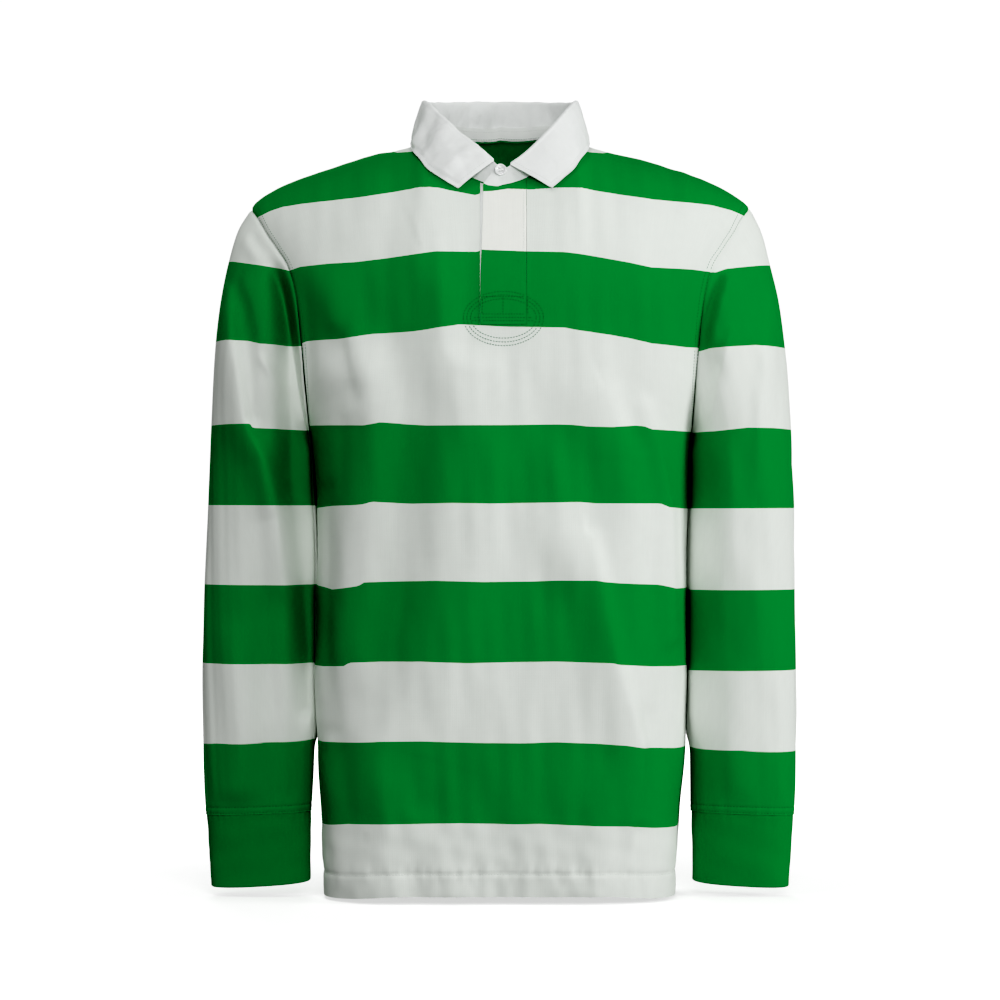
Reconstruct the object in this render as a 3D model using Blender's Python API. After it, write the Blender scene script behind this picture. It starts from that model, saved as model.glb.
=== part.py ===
"""A long-sleeved rugby polo shirt, filled out as if worn, with nobody in it.

Metres, +Z up. The wearer faces -Y, so the wearer's left is +X. The origin is the middle of the neck at the
height where the shirt hangs on the shoulders. Every piece of cloth is a thin wall, worked out on rings and
sections from the sizes below.
"""

from collections import namedtuple
from math import pi, radians

import bmesh
import bpy
import numpy as np

# ---- driving sizes -------------------------------------------------------------------------------

CLOTH = 0.0013  # jersey wall
RIB_WALL = 0.0019  # the cuff is knitted double
TWILL_WALL = 0.0012  # collar and placket twill
SEAM_GAP = 0.0003  # between two pieces that are sewn together
HALF_GAP = SEAM_GAP / 2

HEM = -0.7145  # height of the hem under the origin
HEM_DIP = 0.0040  # the hem hangs this much lower at the vents
HEM_TURN = 0.022  # depth of the turned-up hem
UNDERARM = -0.275
CHEST = -0.160  # above this the panels lean back to the shoulder seam
VENT_TOP = -0.636  # the side seams stop here and leave a vent
VENT_OPEN = 0.0030  # how far each panel stands back from the side line at the hem

NECK_HALF = 0.074  # half the width of the neck seam
NECK_FRONT = 0.0873  # how far the neck seam reaches in front
NECK_BACK = 0.058

# The body from hem to shoulder. Right and left are the wearer's. Above the underarm the widths run on to
# where the cloth would go without an armhole.
Section = namedtuple("Section", "level right left front back square")
BODY = (
    Section(HEM, 0.1665, 0.1690, 0.112, 0.113, 3.6),
    Section(-0.655, 0.1693, 0.1727, 0.116, 0.117, 3.2),
    Section(-0.575, 0.1741, 0.1800, 0.119, 0.120, 2.8),
    Section(-0.497, 0.1772, 0.1812, 0.121, 0.119, 2.7),
    Section(-0.420, 0.1768, 0.1806, 0.123, 0.116, 2.65),
    Section(-0.344, 0.1772, 0.1814, 0.127, 0.118, 2.6),
    Section(UNDERARM, 0.1835, 0.1850, 0.131, 0.123, 2.6),
    Section(-0.220, 0.1985, 0.2000, 0.133, 0.126, 2.55),
    Section(CHEST, 0.2150, 0.2160, 0.132, 0.126, 2.5),
    Section(-0.080, 0.2400, 0.2410, 0.131, 0.125, 2.45),
    Section(0.000, 0.2620, 0.2620, 0.130, 0.125, 2.4),
)

# The armhole seam: how far out it lies on each side of the body, from the underarm to the shoulder point.
Armhole = namedtuple("Armhole", "level reach")
ARMHOLE = (
    Armhole(-0.235, 0.1868),
    Armhole(-0.190, 0.1905),
    Armhole(CHEST, 0.1935),
    Armhole(-0.141, 0.1975),
    Armhole(-0.123, 0.2045),
    Armhole(-0.108, 0.2140),
    Armhole(-0.084, 0.2265),
    Armhole(-0.050, 0.2365),
    Armhole(-0.027, 0.2405),
    Armhole(0.000, 0.2415),
)

# The line over the shoulder, from the middle out. Inside the neck it is only the line that the panels lean
# towards, and there the back stands higher than the front.
Ridge = namedtuple("Ridge", "out front back")
SHOULDER = (
    Ridge(0.000, 0.0010, 0.0364),
    Ridge(0.040, 0.0050, 0.0290),
    Ridge(NECK_HALF, 0.0105, 0.0105),
    Ridge(0.087, 0.0020, 0.0020),
    Ridge(0.100, -0.0020, -0.0020),
    Ridge(0.135, -0.0097, -0.0097),
    Ridge(0.160, -0.0175, -0.0175),
    Ridge(0.205, -0.0333, -0.0333),
    Ridge(0.220, -0.0407, -0.0407),
    Ridge(0.2415, -0.0563, -0.0563),
    Ridge(0.262, -0.0800, -0.0800),
)

# The sleeve from the armhole to the cuff seam: the line down its outside, the line down its inside on
# each side of the body, and its half depth front to back.
Ring = namedtuple("Ring", "outer_x outer_z inner_right inner_left inner_z depth centre square")
SLEEVE = (
    Ring(0.2415, -0.0563, 0.1835, 0.1850, UNDERARM, 0.0800, 0.000, 2.0),
    Ring(0.2550, -0.0790, 0.1858, 0.1875, -0.2860, 0.0790, 0.000, 2.0),
    Ring(0.2630, -0.1070, 0.1858, 0.1878, -0.2960, 0.0765, 0.000, 2.0),
    Ring(0.2692, -0.1400, 0.1850, 0.1872, -0.3080, 0.0730, 0.000, 2.05),
    Ring(0.2738, -0.1780, 0.1840, 0.1865, -0.3240, 0.0695, 0.000, 2.1),
    Ring(0.2778, -0.2200, 0.1826, 0.1855, -0.3440, 0.0660, 0.000, 2.1),
    Ring(0.2808, -0.2700, 0.1812, 0.1848, -0.3680, 0.0625, -0.001, 2.15),
    Ring(0.2832, -0.3300, 0.1803, 0.1842, -0.4020, 0.0580, -0.002, 2.2),
    Ring(0.2850, -0.3900, 0.1802, 0.1838, -0.4400, 0.0530, -0.003, 2.2),
    Ring(0.2860, -0.4500, 0.1800, 0.1838, -0.4820, 0.0480, -0.005, 2.25),
    Ring(0.2866, -0.5150, 0.1797, 0.1840, -0.5320, 0.0425, -0.007, 2.3),
    Ring(0.2866, -0.5800, 0.1798, 0.1838, -0.5840, 0.0370, -0.009, 2.35),
    Ring(0.2842, -0.6435, 0.1822, 0.1842, -0.6400, 0.0315, -0.011, 2.4),
)
CUFF_STEP = 0.0013  # the cuff is drawn in this much at its seam
CUFF = (
    Ring(0.2842, -0.6435, 0.1822, 0.1842, -0.6400, 0.0315, -0.011, 2.4),
    Ring(0.2818, -0.6800, 0.1822, 0.1848, -0.6750, 0.0265, -0.012, 2.4),
    Ring(0.2796, -0.7125, 0.1822, 0.1852, -0.7070, 0.0230, -0.013, 2.4),
)

# The soft folds of the body: each a ridge, or a trough where its height is negative, from its upper to
# its lower end. Front or back, in the wearer's X and Z.
Fold = namedtuple("Fold", "top_x top_z low_x low_z width height")
FRONT_FOLDS = (
    Fold(-0.140, -0.170, -0.152, -0.420, 0.0140, -0.0045),
    Fold(-0.118, -0.240, -0.145, -0.520, 0.0125, 0.0042),
    Fold(-0.176, -0.330, -0.164, -0.530, 0.0110, 0.0036),
    Fold(-0.070, -0.230, -0.142, -0.650, 0.0200, -0.0055),
    Fold(-0.040, -0.290, -0.085, -0.640, 0.0220, 0.0040),
    Fold(0.042, -0.330, 0.105, -0.700, 0.0230, -0.0060),
    Fold(0.118, -0.320, 0.142, -0.690, 0.0190, 0.0050),
    Fold(0.150, -0.230, 0.158, -0.440, 0.0110, -0.0045),
    Fold(0.100, -0.180, 0.060, -0.330, 0.0260, 0.0030),
)
BACK_FOLDS = (
    Fold(-0.120, -0.200, -0.085, -0.640, 0.0240, -0.0060),
    Fold(-0.060, -0.300, -0.030, -0.690, 0.0230, 0.0050),
    Fold(0.015, -0.240, 0.030, -0.660, 0.0220, -0.0060),
    Fold(0.080, -0.320, 0.100, -0.690, 0.0240, 0.0055),
    Fold(0.140, -0.230, 0.130, -0.540, 0.0180, -0.0055),
    Fold(-0.148, -0.310, -0.150, -0.640, 0.0180, 0.0045),
)
FOLD_FADE = 0.022  # a fold dies away over this much of the cloth before a seam

# Folds of the sleeves, by the turn round the sleeve (0 outside, 90 front, 180 inside, 270 back, in
# degrees) and the height on the sleeve's middle line.
SleeveFold = namedtuple("SleeveFold", "top_turn top_z low_turn low_z width height")
RIGHT_SLEEVE_FOLDS = (
    SleeveFold(52, -0.230, 132, -0.420, 15, -0.0065),
    SleeveFold(72, -0.190, 150, -0.385, 14, 0.0055),
    SleeveFold(24, -0.130, 62, -0.330, 15, -0.0045),
    SleeveFold(118, -0.470, 40, -0.620, 20, -0.0035),
    SleeveFold(250, -0.170, 215, -0.400, 20, -0.0055),
    SleeveFold(300, -0.210, 250, -0.500, 22, 0.0045),
)
LEFT_SLEEVE_FOLDS = (
    SleeveFold(118, -0.150, 92, -0.330, 14, -0.0050),
    SleeveFold(88, -0.190, 70, -0.400, 16, 0.0040),
    SleeveFold(58, -0.240, 78, -0.420, 14, -0.0045),
    SleeveFold(132, -0.300, 118, -0.430, 14, 0.0035),
    SleeveFold(250, -0.170, 215, -0.400, 20, -0.0055),
    SleeveFold(300, -0.210, 250, -0.500, 22, 0.0045),
)

# The placket, along the cloth from the middle of the front.
SLOT_RIGHT = -0.0189
SLOT_LEFT = 0.0252
SLOT_FOOT = -0.1755
PLACKET_LIFT = 0.0009  # the free edge of the upper strip stands proud of the front
PLACKET_FREE = -0.0163  # the free edge of the upper strip at the neck
UNDER_TUCK = 0.0055  # how far the lower strip reaches behind the front

# The collar is one folded piece of twill: a stand sewn to the neck and a leaf that falls outward from the
# fold. Turns round the neck are degrees, 0 at the front and growing towards the wearer's left.
STAND_HALF = 0.0721  # half the width of the stand's outside at its top
STAND_BACK = 0.0586  # how far it reaches behind there
STAND_LEAN = 0.20  # in front it leans back this much for each metre of height
FOLD_BACK_Z = 0.0520
FOLD_RADIUS = 0.0026
# The height of the fold in front, by the share of its half width, on the wearer's right and left.
FrontFold = namedtuple("FrontFold", "share right left")
FRONT_FOLD = (
    FrontFold(0.000, -0.0212, -0.0275),
    FrontFold(0.078, -0.0160, -0.0225),
    FrontFold(0.286, -0.0028, -0.0110),
    FrontFold(0.584, 0.0158, 0.0105),
    FrontFold(1.000, 0.0470, 0.0470),
)
STAND_LAP = 0.0011  # where the collar's ends cross, one stands out this far and the other in
LAP_TURN = 30.0  # how far round the neck each end eases out or in
TAB_LOW = -13.5  # the upper end of the stand, at the neck seam and at its top
TAB_HIGH = -6.5
LEAF_LEFT = 7.6  # the leaf's two ends
LEAF_RIGHT = 355.3
UNDER_END = 369.0  # the lower end of the stand
NECK_DROOP = 0.0035  # the free corner of the upper end hangs this much lower
# The leaf's edge, by the share of the way from its front end to the middle of the back.
LeafEdge = namedtuple("LeafEdge", "share right left y z")
LEAF_EDGE = (
    LeafEdge(0.000, 0.0398, 0.0493, -0.0965, -0.0445),
    LeafEdge(0.074, 0.0569, 0.0605, -0.0900, -0.0341),
    LeafEdge(0.150, 0.0714, 0.0722, -0.0800, -0.0235),
    LeafEdge(0.331, 0.0857, 0.0857, -0.0385, -0.0035),
    LeafEdge(0.480, 0.0870, 0.0870, 0.0000, 0.0045),
    LeafEdge(0.620, 0.0810, 0.0810, 0.0370, 0.0025),
    LeafEdge(0.800, 0.0520, 0.0520, 0.0680, -0.0030),
    LeafEdge(1.000, 0.0000, 0.0000, 0.0830, -0.0060),
)
LEAF_BOW = 0.0008  # how far the leaf bows out between fold and edge
LEAF_CLEAR = 1.024  # the leaf keeps this many times as far out from the chest's middle as the panels
TAPE_HEIGHT = 0.0125
TAPE_WALL = 0.0008
TAPE_TURN = 62.0  # the neck tape starts this far round from the front, on both sides

BUTTON_X = 0.0012
BUTTON_Z = -0.0258
BUTTON_RADIUS = 0.0056
BUTTON_THICK = 0.0022

# How finely each piece is divided.
BODY_ROWS = 15  # hem to underarm, besides the rows at the hem's turn
ARMHOLE_ROWS = 5  # underarm to chest, the last of them above the foot of the placket
SHOULDER_ROWS = 8  # chest to shoulder seam
SIDE_COLUMNS = 10  # from the side to the corner of the neck
NECK_COLUMNS = 5  # from there to the placket
BACK_COLUMNS = 6  # from there to the middle of the back
SLEEVE_ROWS = 17
COLLAR_STEPS = 44

COLOURS = {
    "jersey_white": (0.74, 0.77, 0.74, 1.0),
    "jersey_green": (0.002, 0.20, 0.025, 1.0),
    "twill_white": (0.80, 0.82, 0.80, 1.0),
    "button_pearl": (0.85, 0.86, 0.85, 1.0),
}
ROUGHNESS = {"jersey_white": 0.9, "jersey_green": 0.9, "twill_white": 0.85, "button_pearl": 0.3}


# ---- curves through tables -----------------------------------------------------------------------


def smooth_curve(knots, values):
    """A function through the knots that never overshoots them. Values may be numbers or points."""
    knots = np.asarray(knots, float)
    values = np.asarray(values, float)
    step = np.diff(knots)
    if values.ndim > 1:
        step = step[:, None]
    slope = np.diff(values, axis=0) / step
    tangent = np.concatenate([slope[:1], (slope[:-1] + slope[1:]) / 2, slope[-1:]])
    same_way = slope[:-1] * slope[1:] > 0
    harmonic = 2 * slope[:-1] * slope[1:] / np.where(same_way, slope[:-1] + slope[1:], 1.0)
    tangent[1:-1] = np.where(same_way, harmonic, 0.0)

    def curve(at):
        at = np.clip(np.asarray(at, float), knots[0], knots[-1])
        i = np.clip(np.searchsorted(knots, at, side="right") - 1, 0, len(knots) - 2)
        t = (at - knots[i]) / (knots[i + 1] - knots[i])
        if values.ndim > 1:
            t = t[..., None]
        t2, t3 = t * t, t * t * t
        return (
            (2 * t3 - 3 * t2 + 1) * values[i]
            + (t3 - 2 * t2 + t) * tangent[i] * step[i]
            + (3 * t2 - 2 * t3) * values[i + 1]
            + (t3 - t2) * tangent[i + 1] * step[i]
        )

    return curve


def column(rows, knot, name):
    """The curve of one named column of a table over another."""
    return smooth_curve([getattr(r, knot) for r in rows], [getattr(r, name) for r in rows])


def fade(t):
    """0 at 0 and 1 at 1, level at both ends."""
    t = np.clip(t, 0.0, 1.0)
    return t * t * (3 - 2 * t)


HALF_WIDTH = {-1: column(BODY, "level", "right"), 1: column(BODY, "level", "left")}
DEPTH = {-1: column(BODY, "level", "front"), 1: column(BODY, "level", "back")}
SQUARE = column(BODY, "level", "square")
RIDGE = {-1: column(SHOULDER, "out", "front"), 1: column(SHOULDER, "out", "back")}
NECK_REACH = {-1: NECK_FRONT, 1: NECK_BACK}


# ---- the body's surface --------------------------------------------------------------------------


def armhole_reach(hand, level):
    """How far out the panel's edge lies at a level: the side line, or the armhole seam above it."""
    side = float(HALF_WIDTH[hand](UNDERARM))
    seam = smooth_curve([UNDERARM] + [a.level for a in ARMHOLE], [side] + [a.reach for a in ARMHOLE])
    return HALF_WIDTH[hand](level) if level <= UNDERARM else seam(level)


def vent_setback(level):
    """How far the panel's edge stands back from the side line."""
    return HALF_GAP + VENT_OPEN * float(fade((VENT_TOP - level) / (VENT_TOP - HEM)))


def widen(out, level):
    """Where a column that stands at out at the chest goes above it: the outer ones follow the armhole."""
    widest = float(armhole_reach(1, CHEST))
    wider = float(armhole_reach(1, level)) / widest - 1
    return out * (1 + wider * (out / widest) ** 3)


def neck_place(face, hand, out):
    """Where such a column ends at the top: between the placket, or the middle of the back, and the corner
    of the neck they are spread evenly round the neck seam."""
    top = widen(out, 0.0)
    start = {-1: -SLOT_RIGHT, 1: SLOT_LEFT}[hand] if face < 0 else 0.0
    share = np.clip((top - start) / (NECK_HALF - start), 0.0, 1.0)
    first = np.arcsin(start / NECK_HALF)
    spread = NECK_HALF * np.sin(first + (pi / 2 - first) * share)
    return np.where((top < start) | (top > NECK_HALF), top, spread)


def bulge(face, hand, x, level):
    """How far the body stands out at x, before it leans back to the shoulder."""
    square = SQUARE(level)
    share = np.clip(np.abs(x) / HALF_WIDTH[hand](level), 0.0, 1.0)
    return DEPTH[face](level) * (1 - share**square) ** (1 / square)


def half_section(face, hand, level, samples=500):
    """One half of a section from the middle to the edge, as points close together, at the chest or below."""
    square = float(SQUARE(level))
    half = float(HALF_WIDTH[hand](level))
    reach = min(float(armhole_reach(hand, level)) / half, 1.0)
    turn = np.linspace(0.0, 1.0, samples) * np.arcsin(reach ** (square / 2))
    x = half * np.sin(turn) ** (2 / square)
    y = DEPTH[face](level) * np.clip(np.cos(turn), 0.0, 1.0) ** (2 / square)
    return np.stack([hand * x, face * y, np.full_like(x, level)], axis=1)


def lengths_along(points):
    """The distance along a line of points, from its first."""
    steps = np.linalg.norm(np.diff(points, axis=0), axis=1)
    return np.concatenate([[0.0], np.cumsum(steps)])


def columns_at(face, level, cloth):
    """The points of one row at the chest or below. cloth is each column's distance from the middle along
    the chest row; columns near the middle keep it, and the outer ones share what the row has more or less."""
    row = np.zeros((len(cloth), 3))
    for hand in (-1, 1):
        mine = cloth * hand >= 0
        section = half_section(face, hand, level)
        along = lengths_along(section)
        full = lengths_along(half_section(face, hand, CHEST))[-1]
        wanted = np.abs(cloth[mine])
        wanted = wanted + (along[-1] - vent_setback(level) - full) * (wanted / full) ** 3
        for axis in range(3):
            row[mine, axis] = np.interp(wanted, along, section[:, axis])
    return row


def lean_to(face, x):
    """The angle through which a column leans back at its top: to the shoulder seam, or to the neck seam."""
    share = np.clip(np.abs(x) / NECK_HALF, 0.0, 1.0)
    seam = NECK_REACH[face] * np.sqrt(1 - share**2)
    return np.arccos(np.clip(seam / bulge(face, 1, x, 0.0), 0.0, 1.0))


def leaned(face, x, level, share):
    """Points above the chest: share is 0 at the chest and 1 at the shoulder or neck seam."""
    angle = share * lean_to(face, x)
    depth = np.where(x < 0, bulge(face, -1, x, level), bulge(face, 1, x, level))
    y = face * depth * np.cos(angle)
    z = CHEST + (RIDGE[face](np.abs(x)) - CHEST) * np.sin(angle)
    return np.stack([x, y, z], axis=-1)


def panel_points(face, cloth, levels, shares):
    """The smooth outside of the front (face -1) or back (face 1): a row for each level up to the chest,
    then one for each share of the lean."""
    rows = [columns_at(face, level, cloth) for level in levels]
    at_chest = rows[-1][:, 0]
    out = np.abs(at_chest)
    left = neck_place(face, 1, out)
    top = np.where(at_chest < 0, neck_place(face, -1, out), left)
    for share in shares:
        level = CHEST * (1 - share)
        x = widen(out, level) + (top - widen(out, 0.0)) * fade(share)
        rows.append(leaned(face, np.sign(at_chest) * x, level, share))
    return np.array(rows)


def grid_normals(grid, closed=False):
    """Outward unit normals of a grid whose rows go up and whose columns go towards +X on the front."""
    if closed:
        across = np.roll(grid, -1, axis=1) - np.roll(grid, 1, axis=1)
    else:
        across = np.gradient(grid, axis=1)
    up = np.gradient(grid, axis=0)
    normal = np.cross(across, up)
    return normal / np.maximum(np.linalg.norm(normal, axis=2, keepdims=True), 1e-12)


def along_fold(points, top, low):
    """How far points of a plane lie to the side of a fold's line, and a weight that dies at its ends."""
    top, low = np.array(top), np.array(low)
    way = low - top
    share = ((points - top) @ way) / (way @ way)
    foot = top + np.clip(share, 0.0, 1.0)[..., None] * way
    return np.linalg.norm(points - foot, axis=-1), fade(share / 0.3 + 0.35) * fade((1.3 - share) / 0.55)


def body_folds(points, folds):
    """The height of the folds over the smooth cloth."""
    flat = points[..., [0, 2]]
    height = np.zeros(points.shape[:-1])
    for f in folds:
        beside, weight = along_fold(flat, (f.top_x, f.top_z), (f.low_x, f.low_z))
        height += f.height * weight * np.exp(-((beside / f.width) ** 2))
    return height


def seam_fade(points):
    """1 in the middle of a panel, falling to 0 at its side, armhole, shoulder and neck edges."""
    from_right = np.cumsum(np.linalg.norm(np.diff(points, axis=1), axis=2), axis=1)
    from_right = np.concatenate([np.zeros((len(points), 1)), from_right], axis=1)
    from_left = from_right[:, -1:] - from_right
    down = np.linalg.norm(np.diff(points, axis=0), axis=2)
    from_top = np.concatenate([np.cumsum(down[::-1], axis=0)[::-1], np.zeros((1, points.shape[1]))])
    nearest = np.minimum(np.minimum(from_right, from_left), from_top)
    return fade(nearest / FOLD_FADE)


def body_levels():
    """The heights of the rows up to the chest."""
    turn = HEM + HEM_TURN
    lower = np.linspace(turn + 0.0012, UNDERARM, BODY_ROWS + 1)
    upper = np.linspace(UNDERARM, SLOT_FOOT, ARMHOLE_ROWS)[1:]
    return np.concatenate([[HEM, HEM + HEM_TURN / 2, turn], lower, upper, [CHEST]])


def body_shares():
    """The rows from the chest to the shoulder seam, as shares of the lean."""
    return np.linspace(0.0, 1.0, SHOULDER_ROWS + 1)[1:]


def chest_length(face, hand):
    """The length of cloth from the middle to the edge of a panel at the chest."""
    return lengths_along(half_section(face, hand, CHEST))[-1] - vent_setback(CHEST)


def neck_column(face, hand):
    """The length of cloth at the chest from the middle to the column that ends at the corner of the neck."""
    section = half_section(face, hand, CHEST)
    top = widen(np.abs(section[:, 0]), 0.0)
    return float(np.interp(NECK_HALF, top, lengths_along(section)))


def front_columns():
    """The columns of the front, along the cloth: two of them are the edges of the placket's slot."""
    right_neck, left_neck = neck_column(-1, -1), neck_column(-1, 1)
    return np.concatenate(
        [
            np.linspace(-chest_length(-1, -1), -right_neck, SIDE_COLUMNS + 1),
            np.linspace(-right_neck, SLOT_RIGHT, NECK_COLUMNS + 1)[1:],
            np.linspace(SLOT_RIGHT, SLOT_LEFT, 5)[1:],
            np.linspace(SLOT_LEFT, left_neck, NECK_COLUMNS + 1)[1:],
            np.linspace(left_neck, chest_length(-1, 1), SIDE_COLUMNS + 1)[1:],
        ]
    )


def back_columns():
    """The columns of the back, along the cloth."""
    right_neck, left_neck = neck_column(1, -1), neck_column(1, 1)
    return np.concatenate(
        [
            np.linspace(-chest_length(1, -1), -right_neck, SIDE_COLUMNS + 1),
            np.linspace(-right_neck, 0.0, BACK_COLUMNS + 1)[1:],
            np.linspace(0.0, left_neck, BACK_COLUMNS + 1)[1:],
            np.linspace(left_neck, chest_length(1, 1), SIDE_COLUMNS + 1)[1:],
        ]
    )


def folded_panel(face, cloth, folds):
    """The outside of a panel with its folds, and its normals."""
    base = panel_points(face, cloth, body_levels(), body_shares())
    base[..., 1] += face * HALF_GAP
    outward = grid_normals(base) * -face
    points = base + outward * (body_folds(base, folds) * seam_fade(base))[..., None]
    points[0, :, 2] = HEM
    points[..., 2] -= hem_dip(points)
    return points, grid_normals(points) * -face


def hem_dip(points):
    """How much lower the cloth hangs towards the vents, from nothing at their tops."""
    share = np.abs(points[..., 0]) / HALF_WIDTH[1](HEM)
    return HEM_DIP * fade((VENT_TOP - points[..., 2]) / (VENT_TOP - HEM)) * fade((share - 0.55) / 0.4)


# ---- solids from grids ---------------------------------------------------------------------------


def new_object(name, points, faces, material):
    """An object from points and faces, with its faces turned outward and shaded smooth."""
    mesh = bpy.data.meshes.new(name)
    mesh.from_pydata([tuple(p) for p in points], [], faces)
    shell = bmesh.new()
    shell.from_mesh(mesh)
    bmesh.ops.remove_doubles(shell, verts=shell.verts, dist=1e-7)
    bmesh.ops.triangulate(shell, faces=shell.faces)
    bmesh.ops.recalc_face_normals(shell, faces=shell.faces)
    shell.to_mesh(mesh)
    shell.free()
    mesh.shade_smooth()
    mesh.set_sharp_from_angle(angle=radians(50))
    mesh.materials.append(material)
    made = bpy.data.objects.new(name, mesh)
    bpy.context.scene.collection.objects.link(made)
    return made


def wall(name, outside, inside, material, closed=False, missing=None):
    """A closed wall between two grids of the same size. closed joins the last column to the first, and
    missing marks the cells that are left open."""
    rows, columns = outside.shape[:2]
    across = columns if closed else columns - 1
    cells = np.ones((rows - 1, across), bool)
    if missing is not None:
        cells &= ~missing

    def at(r, c):
        return r * columns + c % columns

    layer = rows * columns
    faces = []
    edges = {}
    for r, c in np.argwhere(cells):
        corners = [at(r, c), at(r, c + 1), at(r + 1, c + 1), at(r + 1, c)]
        faces.append(corners)
        faces.append([layer + k for k in reversed(corners)])
        for a, b in zip(corners, corners[1:] + corners[:1]):
            edges[(a, b)] = True
    for a, b in edges:
        if (b, a) not in edges:
            faces.append([b, a, layer + a, layer + b])
    points = np.concatenate([outside.reshape(-1, 3), inside.reshape(-1, 3)])
    used = sorted({k for f in faces for k in f})
    place = {k: i for i, k in enumerate(used)}
    return new_object(name, points[used], [[place[k] for k in f] for f in faces], material)


def unit(ways):
    """Vectors scaled to length 1."""
    return ways / np.maximum(np.linalg.norm(ways, axis=-1, keepdims=True), 1e-12)


def seam_ways(points, normals):
    """The panel's normals, turned at its seams so that two pieces meet face to face: along the seam's own
    plane at the sides and shoulders, and away from the middle at the armholes."""
    ways = normals.copy()
    first = underarm_row()
    for edge in (0, -1):
        ways[:first, edge, 1] = 0.0
        ways[first:-1, edge] = armhole_way(points[first:-1, edge], normals[first:-1, edge])
    at_neck = np.abs(points[-1, :, 0]) < NECK_HALF - 1e-4
    ways[-1, ~at_neck, 1] = 0.0
    return unit(ways)


def armhole_way(seam, own):
    """Away from the middle of the armhole, in the plane of the wearer's side. Low down, where panel and
    sleeve hang side by side, it is the cloth's own normal."""
    middle = np.array([0.0, 0.0, (UNDERARM + SHOULDER[-2].front) / 2])
    way = seam - middle
    way[:, 0] = 0.0
    low = fade((-0.190 - seam[:, 2:]) / 0.050)
    return unit(unit(way) * (1 - low) + own * low)


def panel_inside(points, normals):
    """The inside of a panel. The hem is turned up, so the wall is double there."""
    thick = np.full(points.shape[:2], CLOTH)
    thick[:3] = 2 * CLOTH
    inside = points - seam_ways(points, normals) * thick[..., None]
    inside[0, :, 2] = points[0, :, 2]
    return inside


def make_front(material):
    """The front, with a slot for the placket down from the neck."""
    cloth = front_columns()
    points, normals = folded_panel(-1, cloth, FRONT_FOLDS)
    slot = SIDE_COLUMNS + NECK_COLUMNS
    missing = np.zeros((len(points) - 1, len(cloth) - 1), bool)
    missing[slot_row() :, slot : slot + 4] = True
    wall("front", points, panel_inside(points, normals), material, missing=missing)
    return points, seam_ways(points, normals)


def make_back(material):
    """The back, in one piece from hem to neck."""
    points, normals = folded_panel(1, back_columns(), BACK_FOLDS)
    wall("back", points, panel_inside(points, normals), material)
    return points


def underarm_row():
    """The row of the panels at the underarm."""
    return 3 + BODY_ROWS


def slot_row():
    """The row of the front nearest the foot of the placket's slot."""
    return int(np.argmin(np.abs(body_levels() - SLOT_FOOT)))


# ---- placket -------------------------------------------------------------------------------------


def placket_strip(front, normals, right, left, sunk):
    """A strip over the front's own slot: right and left are the distances of its edges along the cloth in
    each row, and sunk how far below the front's outside each of its columns lies."""
    cloth = front_columns()
    first = slot_row()
    ways = normals.copy()
    ways[-1, :, 2] = 0.0
    ways = unit(ways)
    strip = []
    for r in range(first, len(front)):
        at = np.linspace(right[r - first], left[r - first], len(sunk))
        place = np.stack([np.interp(at, cloth, front[r, :, k]) for k in range(3)], axis=1)
        out = np.stack([np.interp(at, cloth, ways[r, :, k]) for k in range(3)], axis=1)
        strip.append(place - out * np.array(sunk)[:, None])
    strip = np.array(strip)
    strip[0, :, 2] += SEAM_GAP
    return strip


def strip_inside(strip, thick):
    """The inside of a strip, cut level at the neck."""
    ways = grid_normals(strip)
    ways[-1, :, 2] = 0.0
    return strip - unit(ways) * thick


def make_placket(front, normals, over_material, under_material):
    """Two strips: the wearer's left one lies on top, and its free edge hides the buttonholes."""
    rows = len(front) - slot_row()
    up = np.linspace(0.0, 1.0, rows)
    free = SLOT_RIGHT + SEAM_GAP + (PLACKET_FREE - SLOT_RIGHT) * fade(up / 0.9)
    sewn = np.full(rows, SLOT_LEFT - SEAM_GAP)
    lift = -PLACKET_LIFT * np.array([1.0, 0.9, 0.6, 0.25, 0.0])
    over = placket_strip(front, normals, free, sewn, lift)
    lower = droop(over[-1, :, 0]) / (over[-1, :, 2] - over[-2, :, 2])
    over[-1] += (over[-2] - over[-1]) * lower[:, None]
    wall("placket_over", over, strip_inside(over, CLOTH), over_material)

    sunk = np.full(5, CLOTH + SEAM_GAP)
    right = np.full(rows, SLOT_RIGHT - UNDER_TUCK)
    left = np.full(rows, SLOT_LEFT - UNDER_TUCK)
    under = placket_strip(front, normals, right, left, sunk)
    under[-1, :, 2] -= 2 * SEAM_GAP
    wall("placket_under", under, strip_inside(under, TWILL_WALL), under_material)
    return over


def droop(x):
    """How far the upper end of the neck hangs down near its free corner."""
    return NECK_DROOP * (1 - fade((x + 0.017) / 0.024))


# ---- sleeves and cuffs ---------------------------------------------------------------------------


def armhole_loop(front, back, hand):
    """The armhole seam from the shoulder point down the front and up the back, from the panels' edges."""
    edge = 0 if hand < 0 else -1
    first = underarm_row()
    down = front[first:, edge][::-1]
    up = back[first + 1 : -1, edge]
    loop = np.concatenate([down, up])
    loop[0, 1] = 0.0
    loop[len(down) - 1, 1] = 0.0
    return loop


def loop_turns(loop):
    """The turn round the sleeve of each point of the loop, in radians: 0 at the shoulder, pi under the arm."""
    front = ARMHOLE_ROWS + SHOULDER_ROWS
    down = lengths_along(loop[: front + 1])
    up = lengths_along(np.concatenate([loop[front:], loop[:1]]))
    return np.concatenate([pi * down / down[-1], pi + pi * up[1:-1] / up[-1]])


def squared(turn, square):
    """Cosine and sine of a turn on a rounded square."""
    cosine, sine = np.cos(turn), np.sin(turn)
    return (
        np.sign(cosine) * np.abs(cosine) ** (2 / square),
        np.sign(sine) * np.abs(sine) ** (2 / square),
    )


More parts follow.
